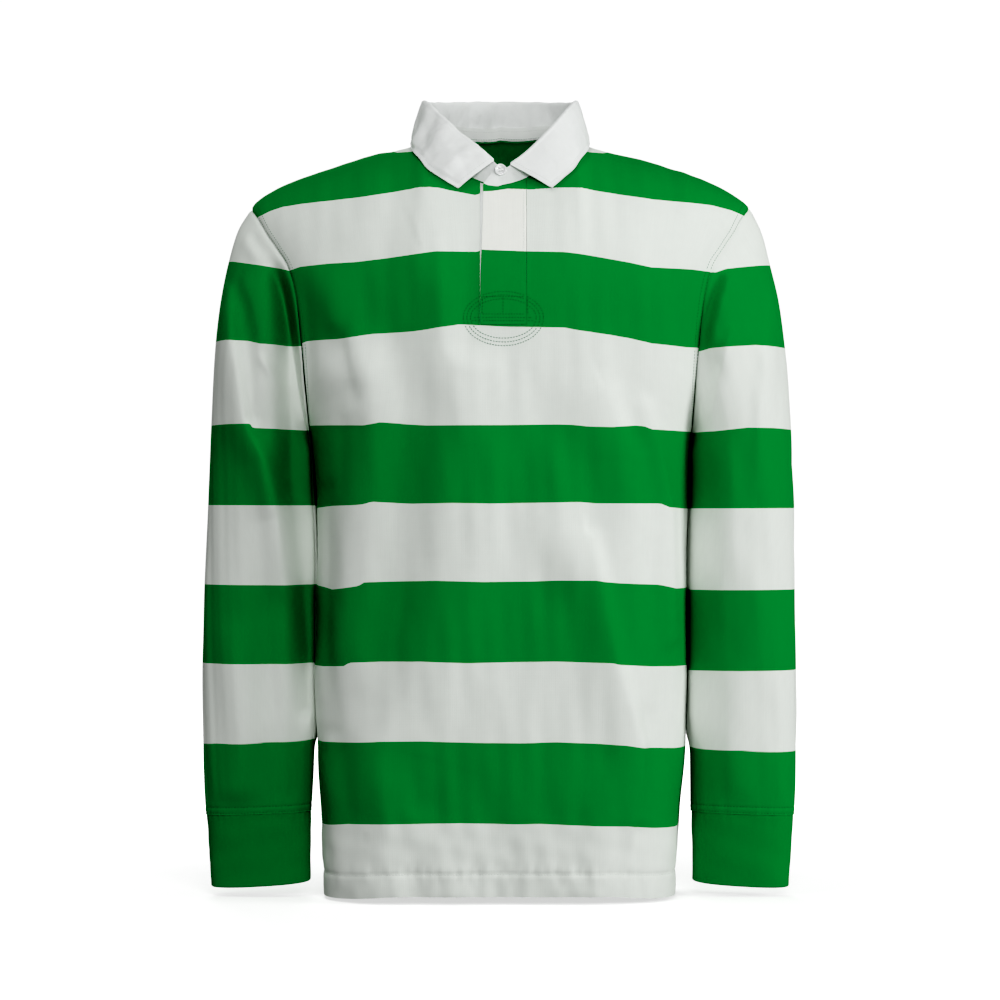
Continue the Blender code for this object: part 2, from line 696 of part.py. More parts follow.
def ring_points(table, hand, turns, at):
    """Points of a tube: at is the place down the table in rows, and turns those of its points."""
    steps = np.arange(len(table))
    inner = "inner_right" if hand < 0 else "inner_left"
    names = ("outer_x", "outer_z", inner, "inner_z", "depth", "centre", "square")
    outer_x, outer_z, inner_x, inner_z, depth, centre, square = (
        float(smooth_curve(steps, [getattr(r, n) for r in table])(at)) for n in names
    )
    cosine, sine = squared(turns, square)
    x = (outer_x + inner_x) / 2 + (outer_x - inner_x) / 2 * cosine
    z = (outer_z + inner_z) / 2 + (outer_z - inner_z) / 2 * cosine
    return np.stack([hand * x, centre - depth * sine, z], axis=1)


def sleeve_folds(points, turns, folds):
    """The height of the sleeve's folds over the smooth cloth."""
    height = np.zeros(points.shape[:-1])
    middle = points[..., 2].mean(axis=1, keepdims=True)
    turn = np.degrees(turns)[None, :]
    for f in folds:
        share = (middle - f.top_z) / (f.low_z - f.top_z)
        line = f.top_turn + np.clip(share, 0.0, 1.0) * (f.low_turn - f.top_turn)
        weight = fade(share / 0.3 + 0.2) * fade((1.25 - share) / 0.5)
        height += f.height * weight * np.exp(-(((turn - line) / f.width) ** 2))
    return height


def sleeve_points(loop, hand, folds):
    """The outside of a sleeve, from the armhole seam to the cuff seam."""
    turns = loop_turns(loop)
    places = (len(SLEEVE) - 1) * np.linspace(0.0, 1.0, SLEEVE_ROWS + 1) ** 1.12
    rings = np.array([ring_points(SLEEVE, hand, turns, at) for at in places])
    off = loop - rings[0]
    near = 1 - fade(places / 5.0)
    rings = rings + near[:, None, None] * off[None]
    rings[..., 0] += hand * 0.00045 * (1 - fade(places / 2.0))[:, None]
    height = sleeve_folds(rings, turns, folds)
    calm = fade(places / 2.5) * fade((places[-1] - places) / 1.2)
    inner_side = 1 - 0.9 * np.clip(-np.cos(turns), 0.0, 1.0) ** 2
    height = height * calm[:, None] * inner_side[None, :]
    return rings + tube_normals(rings, hand) * height[..., None]


def make_sleeve(name, loop, hand, folds, material):
    """A sleeve: a tube sewn into the armhole."""
    points = sleeve_points(loop, hand, folds)
    out = tube_normals(points, hand)
    out[0] = armhole_way(points[0], out[0])
    wall(name, points, points - out * CLOTH, material, closed=True)
    return points


def tube_normals(points, hand):
    """Outward normals of a tube whose rows go down."""
    return grid_normals(points, closed=True) * hand


def make_cuff(name, sleeve, hand, material):
    """A cuff: a double rib band, drawn in a little under the sleeve's end."""
    turns = cuff_turns(sleeve.shape[1])
    rows = []
    for place in (0.0, 0.12, 1.0, 2.0):
        ring = ring_points(CUFF, hand, turns, place)
        ring[:, 2] -= SEAM_GAP if place == 0 else 0.0
        rows.append(ring)
    points = np.array(rows)
    out = tube_normals(points, hand)
    draw_in = np.where(np.arange(len(rows)) == 0, CUFF_STEP, CUFF_STEP * 0.8)
    flat = out.copy()
    flat[..., 2] = 0.0
    flat /= np.linalg.norm(flat, axis=2, keepdims=True)
    points = points - flat * draw_in[:, None, None]
    wall(name, points, points - flat * RIB_WALL, material, closed=True)


def cuff_turns(count):
    """Turns spaced evenly round a cuff."""
    return np.arange(count) * 2 * pi / count


# ---- collar --------------------------------------------------------------------------------------


def round_neck(turn, half, front, back):
    """A point of an egg round the neck. turn is 0 at the front and grows towards the wearer's left."""
    cosine = np.cos(turn)
    reach = np.where(cosine > 0, front, back)
    return np.stack([half * np.sin(turn), -reach * cosine], axis=-1)


class Neck:
    """The seam round the neck, as the panels' own top edges run, and the upper strip's edge over them."""

    def __init__(self, front, back, over):
        self.front = front[-1]
        self.back = back[-1]
        self.over = over[-1]

    def seam(self, turn, upper=False):
        """Points of the seam. upper follows the top of the upper strip where there is one."""
        x = NECK_HALF * np.sin(turn)
        points = np.zeros((len(turn), 3))
        points[:, 0] = x
        in_front = np.cos(turn) > 0
        for axis in (1, 2):
            ahead = np.interp(x, self.front[:, 0], self.front[:, axis])
            behind = np.interp(x, self.back[:, 0], self.back[:, axis])
            points[:, axis] = np.where(in_front, ahead, behind)
            if upper:
                strip = np.interp(x, self.over[:, 0], self.over[:, axis])
                covered = in_front & (x < self.over[-1, 0])
                points[:, axis] = np.where(covered, strip, points[:, axis])
        return points


def fold_height(turn, hand):
    """The height of the collar's fold. hand says whose front it is where the two ends cross."""
    share = np.abs(np.sin(turn))
    share = np.where(np.sin(turn) * hand < 0, 0.0, share)
    right, left = column(FRONT_FOLD, "share", "right"), column(FRONT_FOLD, "share", "left")
    front = np.where(hand < 0, right(share), left(share))
    back = FOLD_BACK_Z + (FRONT_FOLD[-1].left - FOLD_BACK_Z) * np.sin(turn) ** 2
    return np.where(np.cos(turn) > 0, front, back)


def stand_top(turn, hand):
    """The outside of the stand at its top, just under the fold."""
    z = fold_height(turn, hand) - FOLD_RADIUS
    across = NECK_HALF * np.sin(turn)
    foot = CHEST + (RIDGE[-1](np.abs(across)) - CHEST) * np.sin(lean_to(-1, across))
    reach = NECK_FRONT - STAND_LEAN * (z - foot)
    flat = round_neck(turn, STAND_HALF, reach, STAND_BACK)
    return np.concatenate([flat, z[..., None]], axis=-1)


def neck_outward(turn):
    """The level direction away from the neck."""
    flat = round_neck(turn, NECK_FRONT, NECK_HALF, NECK_HALF)
    return unit(np.concatenate([flat, np.zeros_like(flat[..., :1])], axis=-1))


def clear_of_panels(points):
    """Points moved out, where they need it, to lie over the front and back."""
    moved = points.copy()
    for i, (x, y, z) in enumerate(points):
        face = -1 if y < 0 else 1
        depth = float(bulge(face, 1, np.array(x), -0.03))
        rise = float(RIDGE[face](abs(x))) - CHEST
        far = float(np.hypot(y / depth, (z - CHEST) / rise))
        if far < LEAF_CLEAR:
            moved[i, 1] = y * LEAF_CLEAR / far
            moved[i, 2] = CHEST + (z - CHEST) * LEAF_CLEAR / far
    return moved


def leaf_ends(turns):
    """The leaf's edge for lines that leave the fold at these turns."""
    ends = []
    for turn in turns:
        left = turn <= 180.0
        start = LEAF_LEFT if left else 360.0 - LEAF_RIGHT
        share = ((turn if left else 360.0 - turn) - start) / (180.0 - start)
        x = float(column(LEAF_EDGE, "share", "left" if left else "right")(share))
        y = float(column(LEAF_EDGE, "share", "y")(share))
        z = float(column(LEAF_EDGE, "share", "z")(share))
        ends.append((x if left else -x, y, z))
    return np.array(ends)


def collar_columns():
    """The collar's lines from neck to edge: their turns at the neck seam and at the fold, and which of
    them carry the leaf."""
    leaf = np.linspace(LEAF_LEFT, LEAF_RIGHT, COLLAR_STEPS + 1)
    under = np.linspace(LEAF_RIGHT, UNDER_END, 4)[1:]
    low = np.concatenate([np.linspace(TAB_LOW, LEAF_LEFT, 4)[:-1], leaf, under])
    high = np.concatenate([np.linspace(TAB_HIGH, LEAF_LEFT, 4)[:-1], leaf, under])
    return low, high, slice(3, 3 + len(leaf))


def collar_face(neck):
    """The face of the collar that shows: inside the neck on the stand, over the fold, and outside on the
    leaf. Rows go from the neck seam to the leaf's edge."""
    low, high, leaf = collar_columns()
    low_turn, high_turn = np.radians(low), np.radians(high)
    lap_out = STAND_LAP * (1 - fade((low - LEAF_LEFT) / LAP_TURN))
    lap_in = STAND_LAP * fade((low - LEAF_RIGHT + LAP_TURN) / LAP_TURN)
    outward = neck_outward(high_turn)
    foot = np.where((low < 90.0)[:, None], neck.seam(low_turn, upper=True), neck.seam(low_turn))
    foot = foot - neck_outward(low_turn) * (TWILL_WALL + lap_in)[:, None]
    foot[:, 2] += SEAM_GAP
    top = stand_top(high_turn, np.where(low < 180.0, 1, -1))
    top = top + outward * (lap_out - lap_in - TWILL_WALL)[:, None]
    centre = top + outward * FOLD_RADIUS
    rows = [foot + (top - foot) * share for share in (0.0, 0.4, 0.75)]
    for swing in np.radians([0.0, 45.0, 90.0, 135.0, 180.0]):
        up = np.array([0.0, 0.0, FOLD_RADIUS * np.sin(swing)])
        rows.append(centre - outward * FOLD_RADIUS * np.cos(swing) + up)
    start = rows[-1]
    edge = start.copy()
    edge[leaf] = leaf_ends(low[leaf])
    bow = outward + np.array([0.0, 0.0, 0.6])
    for share in (0.2, 0.4, 0.6, 0.8, 0.94, 1.0):
        row = start + (edge - start) * share + bow * LEAF_BOW * np.sin(pi * share)
        row[leaf] = clear_of_panels(row[leaf])
        rows.append(row)
    return np.array(rows), leaf


def make_collar(neck, material):
    """The collar. Beyond the leaf's ends only its stand goes on, to cross at the front."""
    face, leaf = collar_face(neck)
    ways = np.zeros_like(face)
    ways[:, leaf] = grid_normals(face[:, leaf])
    inward = -neck_outward(np.radians(collar_columns()[0]))
    if float((ways[1] * inward).sum()) < 0:
        ways = -ways
    stand_rows = 4
    ways[0] = inward
    ways[:stand_rows, : leaf.start] = inward[: leaf.start]
    ways[:stand_rows, leaf.stop :] = inward[leaf.stop :]
    missing = np.zeros((face.shape[0] - 1, face.shape[1] - 1), bool)
    missing[stand_rows - 1 :, : leaf.start] = True
    missing[stand_rows - 1 :, leaf.stop - 1 :] = True
    wall("collar", face, face - ways * TWILL_WALL, material, missing=missing)
    return face


def make_tape(collar, material):
    """The tape that covers the neck seam inside the collar, against the stand."""
    turn = collar_columns()[0]
    covered = (turn > TAPE_TURN) & (turn < 360.0 - TAPE_TURN)
    outward = neck_outward(np.radians(turn[covered]))
    foot, top = collar[0, covered], collar[3, covered]
    rise = unit(top - foot)
    low = foot + rise * 2 * SEAM_GAP - outward * SEAM_GAP
    outside = np.array([low, low + rise * TAPE_HEIGHT])
    wall("neck_tape", outside, outside - outward[None] * TAPE_WALL, material)


def make_button(neck, material):
    """The button at the neck: a dished disc with a rounded rim, on the outside of the tab."""
    radius, thick = BUTTON_RADIUS, BUTTON_THICK
    profile = (
        (0.0, 0.0),
        (radius * 0.86, 0.0),
        (radius, thick * 0.35),
        (radius, thick * 0.75),
        (radius * 0.90, thick),
        (radius * 0.72, thick * 0.92),
        (radius * 0.60, thick * 0.62),
        (0.0, thick * 0.58),
    )
    turned = bmesh.new()
    line = [turned.verts.new((r, 0.0, h)) for r, h in profile]
    edges = [turned.edges.new(pair) for pair in zip(line, line[1:])]
    bmesh.ops.spin(
        turned, geom=line + edges, axis=(0, 0, 1), cent=(0, 0, 0), steps=22, angle=2 * pi, use_merge=True
    )
    bmesh.ops.remove_doubles(turned, verts=turned.verts, dist=1e-6)
    points = [tuple(v.co) for v in turned.verts]
    faces = [[v.index for v in f.verts] for f in turned.faces]
    turned.free()
    button = new_object("button_neck", points, faces, material)
    middle = np.array([np.arcsin(BUTTON_X / NECK_HALF)])
    foot = neck.seam(middle, upper=True)[0]
    top = stand_top(middle, np.array([1]))[0]
    top[1] -= STAND_LAP
    slope = (top[1] - foot[1]) / (top[2] - foot[2])
    tilt = np.arctan(slope)
    y = foot[1] + slope * (BUTTON_Z - foot[2]) - 2 * SEAM_GAP / np.cos(tilt)
    button.location = (BUTTON_X, y, BUTTON_Z)
    button.rotation_euler = (radians(90) - tilt, 0.0, 0.0)
    return button


# ---- the shirt -----------------------------------------------------------------------------------


def new_material(name):
    """A plain cloth or shell material."""
    material = bpy.data.materials.new(name)
    material.use_nodes = True
    shader = material.node_tree.nodes["Principled BSDF"]
    shader.inputs["Base Color"].default_value = COLOURS[name]
    shader.inputs["Roughness"].default_value = ROUGHNESS[name]
    shader.inputs["Metallic"].default_value = 0.0
    return material


def main():
    """Builds the shirt, piece by piece."""
    for old in list(bpy.data.objects):
        bpy.data.objects.remove(old)
    white, green, twill, pearl = (new_material(name) for name in COLOURS)
    front, normals = make_front(white)
    back = make_back(white)
    over = make_placket(front, normals, white, twill)
    neck = Neck(front, back, over)
    sides = ((-1, "right", RIGHT_SLEEVE_FOLDS), (1, "left", LEFT_SLEEVE_FOLDS))
    for hand, word, folds in sides:
        loop = armhole_loop(front, back, hand)
        sleeve = make_sleeve(f"sleeve_{word}", loop, hand, folds, white)
        make_cuff(f"cuff_{word}", sleeve, hand, green)
    collar = make_collar(neck, twill)
    make_tape(collar, twill)
    make_button(neck, pearl)


main()
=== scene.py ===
"""Dresses a long-sleeved rugby polo shirt, filled out as if worn, for one studio photograph.

Metres, +Z up. The wearer faces -Y, so the wearer's left is +X, and the photograph's right. Every piece of
cloth is a thin closed shell on the form of its CAD solid, with its folds, seams and stitches.
"""

import logging
from dataclasses import dataclass, field
from enum import Enum
from math import cos, pi, radians, sin
from typing import Callable, Iterable

import bpy
import numpy as np
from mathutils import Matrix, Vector
from mathutils.bvhtree import BVHTree


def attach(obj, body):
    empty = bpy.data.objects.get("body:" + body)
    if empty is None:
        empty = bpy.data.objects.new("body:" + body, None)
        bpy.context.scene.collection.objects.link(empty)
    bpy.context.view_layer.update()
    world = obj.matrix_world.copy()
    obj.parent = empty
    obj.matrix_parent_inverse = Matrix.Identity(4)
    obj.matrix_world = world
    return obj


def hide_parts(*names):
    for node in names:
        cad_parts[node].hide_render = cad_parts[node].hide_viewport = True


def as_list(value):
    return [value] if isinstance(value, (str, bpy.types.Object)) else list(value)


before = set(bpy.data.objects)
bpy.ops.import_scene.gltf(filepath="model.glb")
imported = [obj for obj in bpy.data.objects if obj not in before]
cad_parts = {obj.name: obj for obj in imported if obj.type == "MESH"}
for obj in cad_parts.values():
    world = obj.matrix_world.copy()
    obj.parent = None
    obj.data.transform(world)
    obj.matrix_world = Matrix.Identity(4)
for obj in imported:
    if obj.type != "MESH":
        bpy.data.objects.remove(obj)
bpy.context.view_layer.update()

LOG = logging.getLogger("rugby_shirt")
MM = 0.001
Array = np.ndarray
Curve = Callable[[Array], Array]
Row = tuple[float, ...]
Material = bpy.types.Material
Node = bpy.types.Node
Piece = bpy.types.Object
Tree = bpy.types.NodeTree
Line = tuple[Array, Array]  # places along a line on the cloth, and the cloth's normals there


class Side(Enum):
    """Whose side: the wearer's."""

    RIGHT = -1
    LEFT = 1


class Face(Enum):
    """Which panel of the body."""

    FRONT = -1
    BACK = 1


# ---- curves and small sums ----


def smooth_curve(knots: Array, values: Array) -> Curve:
    """A function through the knots that never overshoots them.

    Args:
        knots: where the values stand, rising.
        values: a number for each knot.

    Returns:
        The function, for numbers or arrays.
    """
    knots, values = np.asarray(knots, float), np.asarray(values, float)
    step = np.diff(knots)
    slope = np.diff(values) / step
    tangent = np.concatenate([slope[:1], slope[1:], slope[-1:]])
    same_way = slope[:-1] * slope[1:] > 0
    total = np.where(same_way, slope[:-1] + slope[1:], 1.0)
    tangent[1:-1] = np.where(same_way, 2 * slope[:-1] * slope[1:] / total, 0.0)

    def curve(at: Array) -> Array:
        at = np.clip(np.asarray(at, float), knots[0], knots[-1])
        i = np.clip(np.searchsorted(knots, at, side="right") - 1, 0, len(knots) - 2)
        t = (at - knots[i]) / (knots[i + 1] - knots[i])
        t2, t3 = t * t, t * t * t
        return (
            (2 * t3 - 3 * t2 + 1) * values[i]
            + (t3 - 2 * t2 + t) * tangent[i] * step[i]
            + (3 * t2 - 2 * t3) * values[i + 1]
            + (t3 - t2) * tangent[i + 1] * step[i]
        )

    return curve


def table_curve(rows: tuple[Row, ...], knot: int, value: int) -> Curve:
    """The curve of one column of a table over another."""
    return smooth_curve(np.array([r[knot] for r in rows]), np.array([r[value] for r in rows]))


def fade(t: Array) -> Array:
    """0 at 0 and 1 at 1, level at both ends."""
    t = np.clip(t, 0.0, 1.0)
    return t * t * (3 - 2 * t)


def bell(off: Array, width: float) -> Array:
    """1 at 0, and dying away on both sides over this width."""
    return np.exp(-((off / width) ** 2))


def unit(ways: Array) -> Array:
    """Vectors scaled to length 1."""
    return ways / np.maximum(np.linalg.norm(ways, axis=-1, keepdims=True), 1e-12)


def lengths_along(points: Array) -> Array:
    """The distance along a line of points, from its first."""
    return np.concatenate([[0.0], np.cumsum(np.linalg.norm(np.diff(points, axis=0), axis=1))])


def down_columns(grid: Array) -> Array:
    """How far each point of a grid is from its column's first, along the cloth."""
    steps = np.linalg.norm(np.diff(grid, axis=0), axis=2)
    return np.concatenate([np.zeros((1, grid.shape[1])), np.cumsum(steps, axis=0)])


def places_on(line: Array, along: Array, at: Array | float) -> Array:
    """The places of a line where the numbers along it reach these."""
    return np.stack([np.interp(at, along, line[:, k]) for k in range(3)], axis=-1)


def line_across(grids: tuple[Array, Array], along: Array, at: float, columns: Iterable[int]) -> Line:
    """The places and normals where the numbers along these columns of a grid reach one number."""
    return tuple(np.array([places_on(g[:, c], along[:, c], at) for c in columns]) for g in grids)


def spaced(start: float, end: float, step: float) -> Array:
    """Even places from start to end, about a step apart."""
    return np.linspace(start, end, max(int(round(abs(end - start) / step)), 1) + 1)


def drift(across: Array, up: Array, wide: float, tall: float, seed: int) -> Array:
    """A smooth uneven field, mostly between -1 and 1, always the same for one seed.

    Args:
        across, up: places on the cloth, in metres.
        wide, tall: about how wide and tall its swells are.
        seed: which field.

    Returns:
        The field's height at each place.
    """
    rng = np.random.default_rng(seed)
    waves = 12
    total = np.zeros(np.broadcast(across, up).shape)
    for _ in range(waves):
        turns = rng.normal(0.0, 0.6 / wide) * across + rng.normal(0.0, 0.6 / tall) * up
        total += np.sin(2 * pi * (turns + rng.uniform(0.0, 1.0)))
    return total / np.sqrt(waves)


def grid_normals(grid: Array, closed: bool = False) -> Array:
    """Unit normals of a grid whose rows go up and whose columns go towards +X on the front."""
    if closed:
        across = np.roll(grid, -1, axis=1) - np.roll(grid, 1, axis=1)
    else:
        across = np.gradient(grid, axis=1)
    return unit(np.cross(across, np.gradient(grid, axis=0)))


# ---- folds ----


@dataclass(frozen=True)
class Crease:
    """A soft fold along a line of points, in millimetres, or degrees and millimetres on the collar.

    height is negative for a trough. low and high are its widths on its two sides: towards smaller and
    towards larger first coordinates.
    """

    line: tuple[tuple[float, float], ...]
    height: float
    low: float
    high: float
    start: float = 0.25  # the share of its length in which it rises from the cloth
    end: float = 0.30

    def lift(self, first: Array, second: Array) -> Array:
        """The fold's height over the cloth.

        Args:
            first, second: the two coordinates of each place, in the line's units.

        Returns:
            Heights in metres.
        """
        knots = np.array(self.line, float)
        steps = np.linalg.norm(np.diff(knots, axis=0), axis=1)
        gone = np.concatenate([[0.0], np.cumsum(steps)])
        best = np.full(first.shape, 1e9)
        beside = np.zeros(first.shape)
        share = np.zeros(first.shape)
        for (a, b), before, length in zip(zip(knots, knots[1:]), gone, steps):
            way = (b - a) / length
            along = (first - a[0]) * way[0] + (second - a[1]) * way[1]
            off = (first - a[0]) * way[1] - (second - a[1]) * way[0]
            inside = np.clip(along, 0.0, length)
            far = np.hypot(off, along - inside)
            nearer = far < best
            best = np.where(nearer, far, best)
            beside = np.where(nearer, np.sign(off) * far, beside)
            share = np.where(nearer, (before + along) / gone[-1], share)
        if knots[-1][1] < knots[0][1]:
            beside = -beside
        width = np.where(beside < 0, self.low, self.high)
        tail = fade((share + self.start) / (2 * self.start)) * fade((1 + self.end - share) / (2 * self.end))
        return self.height * MM * tail * bell(beside, width)


# The front's folds, as they lie in the photograph.
FRONT_CREASES = (
    Crease(((-151, -208), (-132, -228), (-121, -251), (-114, -270), (-118, -302), (-125, -343),
        (-129, -378), (-134, -419), (-141, -472), (-146, -498), (-152, -547)), 11.5, 23, 30, 0.07, 0.2),
    Crease(((-70, -116), (-57, -152), (-50, -192), (-45, -246), (-47, -284), (-48, -340), (-48, -397),
        (-60, -453), (-72, -496), (-90, -538), (-105, -571), (-115, -622)), 11.0, 28, 56, 0.25, 0.15),
    Crease(((-96, -194), (-85, -246), (-87, -302), (-86, -378), (-98, -453), (-120, -528)), -5.0, 18, 17),
    Crease(((98, -241), (109, -269), (121, -302), (123, -340), (121, -397), (122, -453), (132, -528)),
        8.0, 26, 14),
    Crease(((137, -250), (141, -271), (149, -302), (157, -345), (158, -421), (162, -472)),
        7.0, 11, 8, 0.12, 0.25),
    Crease(((83, -378), (91, -418), (98, -458), (105, -492), (117, -533), (128, -571), (128, -640)),
        11.5, 32, 11, 0.15, 0.3),
    Crease(((40, -290), (52, -340), (64, -378), (70, -415)), 5.0, 30, 20),
    Crease(((-126, -571), (-119, -613), (-113, -669), (-108, -730)), 10.0, 34, 28, 0.3, 0.2),
    Crease(((-170, -118), (-157, -152), (-140, -192), (-130, -222)), 6.0, 18, 24),
    Crease(((-167, -330), (-164, -400), (-163, -480), (-158, -560)), -5.0, 9, 12),
    Crease(((-160, -590), (-152, -640), (-146, -700)), 4.0, 10, 14),
    Crease(((16, -200), (26, -270), (22, -340)), -2.4, 30, 26),
    Crease(((-152, -182), (-140, -222), (-135, -246)), -6.0, 14, 9),
    Crease(((92, -600), (88, -660), (84, -720)), 4.6, 34, 20, 0.25, 0.1),
    Crease(((-74, -640), (-62, -680), (-58, -720)), 3.6, 16, 24, 0.25, 0.1),
    Crease(((30, -430), (36, -500), (30, -560)), 2.6, 26, 22),
)
# The back's, of the same kind: none of them shows in the photograph.
BACK_CREASES = (
    Crease(((-128, -190), (-112, -300), (-100, -430), (-88, -600)), -4.6, 20, 26),
    Crease(((-70, -250), (-62, -380), (-46, -520), (-34, -680)), 4.0, 24, 20),
    Crease(((14, -220), (20, -360), (34, -500), (30, -660)), -4.6, 24, 20),
    Crease(((74, -280), (82, -420), (96, -560), (102, -690)), 4.4, 18, 28),
    Crease(((142, -200), (138, -300), (128, -420), (132, -560)), -4.4, 18, 16),
    Crease(((-150, -300), (-148, -440), (-152, -620)), 3.4, 16, 18),
    Crease(((-40, -120), (-20, -150), (20, -150), (44, -118)), -1.8, 14, 14),
    Crease(((110, -190), (92, -240), (60, -290)), 2.4, 12, 16),
    Crease(((-104, -180), (-84, -236), (-50, -280)), 2.2, 14, 14),
)
# The fronts of the sleeves, by the distance out from the shirt's middle and the height, as in the photograph.
RIGHT_SLEEVE_CREASES = (
    Crease(((262, -140), (258, -187), (252, -220), (246.5, -264), (237, -283), (227, -300), (213, -341),
        (205, -354), (203, -383), (199, -420)), 15.0, 10, 19, 0.10, 0.2),
    Crease(((243, -128), (233, -157), (227, -184), (228, -212), (229, -255)), 6.5, 17, 8, 0.12, 0.2),
    Crease(((211, -113), (206, -139), (203, -165), (202, -192), (201, -235), (201, -273), (201, -315),
        (196, -365), (189, -420), (184, -480), (182, -540)), -28.0, 40, 10, 0.06, 0.3),
    Crease(((191, -140), (188, -200), (187, -262)), 7.0, 7, 5),
    Crease(((228, -204), (217, -220), (208, -238)), 2.6, 4.5, 4.5),
    Crease(((221, -198), (212, -211), (205, -226)), -2.4, 4.5, 4.5),
    Crease(((236, -84), (229, -96), (217, -106)), -2.4, 5, 6),
    Crease(((246, -88), (240, -100), (232, -110)), 2.2, 6, 6),
    Crease(((222, -420), (226, -480), (222, -540)), -3.4, 15, 15),
    Crease(((256, -470), (251, -531), (248, -571), (252, -636)), 7.0, 22, 17, 0.2, 0.1),
    Crease(((202, -430), (206, -520), (204, -610)), 3.0, 9, 12),
)
LEFT_SLEEVE_CREASES = (
    Crease(((207, -124), (199, -145), (193, -166), (187, -192)), -9.0, 5, 7, 0.12, 0.15),
    Crease(((222, -126), (213, -150), (207, -175), (203, -202)), 6.0, 10, 22, 0.2, 0.25),
    Crease(((222, -178), (215, -201), (209, -226), (203, -256)), 5.0, 7, 16),
    Crease(((263, -146), (258, -190), (253, -230), (249, -270), (247, -330)), 4.2, 9, 13, 0.2, 0.25),
    Crease(((272, -190), (268, -230), (267, -262)), -1.6, 4, 5),
    Crease(((214, -300), (218, -380), (214, -450)), 2.4, 12, 18),
    Crease(((240, -390), (246, -450), (242, -520)), 2.4, 16, 18),
    Crease(((226, -500), (220, -560), (226, -625)), 2.8, 14, 16),
    Crease(((232, -84), (226, -98), (216, -108)), -1.4, 6, 6),
)
# The backs of both.
SLEEVE_BACK_CREASES = (
    Crease(((252, -140), (238, -260), (214, -390)), -7.0, 16, 14),
    Crease(((266, -210), (250, -330), (228, -480)), 7.0, 17, 15),
    Crease(((216, -190), (206, -280), (200, -360)), 5.0, 10, 12),
    Crease(((262, -330), (258, -420), (250, -520)), -4.6, 14, 14),
    Crease(((222, -500), (228, -570), (224, -630)), 3.4, 14, 16),
)


def all_lifts(creases: tuple[Crease, ...], first: Array, second: Array) -> Array:
    """The folds' heights together, in metres."""
    return sum((c.lift(first, second) for c in creases), np.zeros(first.shape))


# ---- stripes ----


@dataclass(frozen=True)
class StripeEdge:
    """Where one stripe ends: heights across the cloth as it is seen from the front, both in millimetres."""

    knots: tuple[tuple[float, float], ...]

    def height(self, x: Array) -> Array:
        """The edge's height at each x, in metres."""
        across, heights = zip(*self.knots)
        return np.interp(x / MM, across, heights) * MM


def edge_heights(edges: tuple[StripeEdge, ...], x: Array) -> Array:
    """The heights of all the edges at each x, on a last axis."""
    return np.stack([edge.height(x) for edge in edges], axis=-1)


# From the shoulder down, green and white begin in turn. The knit pulls up in the middle and steps at folds.
FRONT_STRIPES = (
    StripeEdge(((-125, 8), (-106, -2), (-100, -5.6), (-84, -5.6), (84, -6), (100, -6.2), (108, -2),
        (125, 8))),
    StripeEdge(((-240, -70), (-229, -66.3), (-221, -62.8), (-209, -59.3), (-190, -57), (-160, -54.7),
        (-129, -51.8), (-99, -47.3), (-76, -43), (-60, -43.6), (-45, -47), (-23, -51.4), (-19.2, -51.6),
                (-18.6, -47.6), (-8, -47.3), (8, -44.8), (30, -45.5), (53, -43.5), (76, -43.5), (91, -46.3),
                    (114, -50), (145, -54), (176, -56), (203, -57.8), (222, -61.6), (235, -66.3),
                    (242, -69))),
    StripeEdge(((-202, -121.8), (-190, -118.6), (-160, -116.5), (-136, -115.6), (-113, -113.1),
        (-90, -110.3), (-75, -108.3), (-60, -106.4), (-23, -106.7),
                (-19.2, -106.6), (-18.6, -104.7), (0, -105.3), (23, -106.2), (60, -106.8), (75, -108.5),
                    (98, -112.2), (121, -116.2), (143, -120.5), (182, -121.4), (208, -123.5))),
    StripeEdge(((-190, -190.9), (-183, -188.7), (-152, -187.9), (-136, -185.9), (-120, -183.6),
        (-83, -181.8), (-68, -179.8), (-53, -177.4),
                (-38, -175.3), (-15, -176.2), (8, -177.3), (60, -177.9), (75, -180.6), (98, -183.7),
                    (120, -187.1), (143, -192.1), (176, -194.9))),
    StripeEdge(((-194, -268.5), (-160, -269.1), (-128, -269.8), (-119, -268.4), (-113, -267.1),
        (-98, -268.1), (-83, -269.4), (-68, -270.3),
                (0, -270), (53, -269.2), (68, -269.6), (83, -271.2), (106, -271.6), (128, -269.9),
                    (136, -270.6), (144, -273.5), (176, -274.5))),
    StripeEdge(((-178, -347.8), (-160, -345.5), (-136, -344.7), (-128, -343.8), (-121, -341.5),
        (-106, -342.4), (-83, -343.5), (-45, -342.7),
                (-8, -343.2), (45, -342.4), (75, -341.8), (90, -343.1), (150, -343.2), (155, -344),
                    (160, -346.7), (176, -348.1))),
    StripeEdge(((-178, -421.7), (-168, -423.3), (-160, -425.3), (-137, -421.8), (-133, -421),
        (-128, -417.7), (-90, -416.6), (-60, -415.8),
                (-15, -417), (30, -416.6), (53, -415.7), (92, -415.8), (98, -417.1), (113, -418.5),
                    (151, -420.4), (160, -422.3), (168, -424.3), (177, -424.4))),
    StripeEdge(((-168, -498.7), (-152, -497.3), (-147, -497), (-143, -493.7), (-113, -492.6), (-75, -491.8),
        (-30, -493.2), (8, -492.4),
                (53, -491.9), (90, -493.1), (106, -493.4), (112, -495), (144, -497.6), (176, -498.7))),
    StripeEdge(((-169, -571), (-136, -569.2), (-113, -567.6), (-75, -567), (-23, -568.5), (23, -569),
        (53, -568.1), (91, -569.7),
                (121, -571.8), (136, -574.4), (168, -576.8))),
    StripeEdge(((-171, -650), (-144, -646.5), (-113, -645.6), (-38, -644.3), (15, -645.4), (38, -644.9),
        (76, -646.7), (121, -648.2), (144, -650.9), (168, -652.4))),
    StripeEdge(((-171, -722), (0, -719), (171, -724))),
)
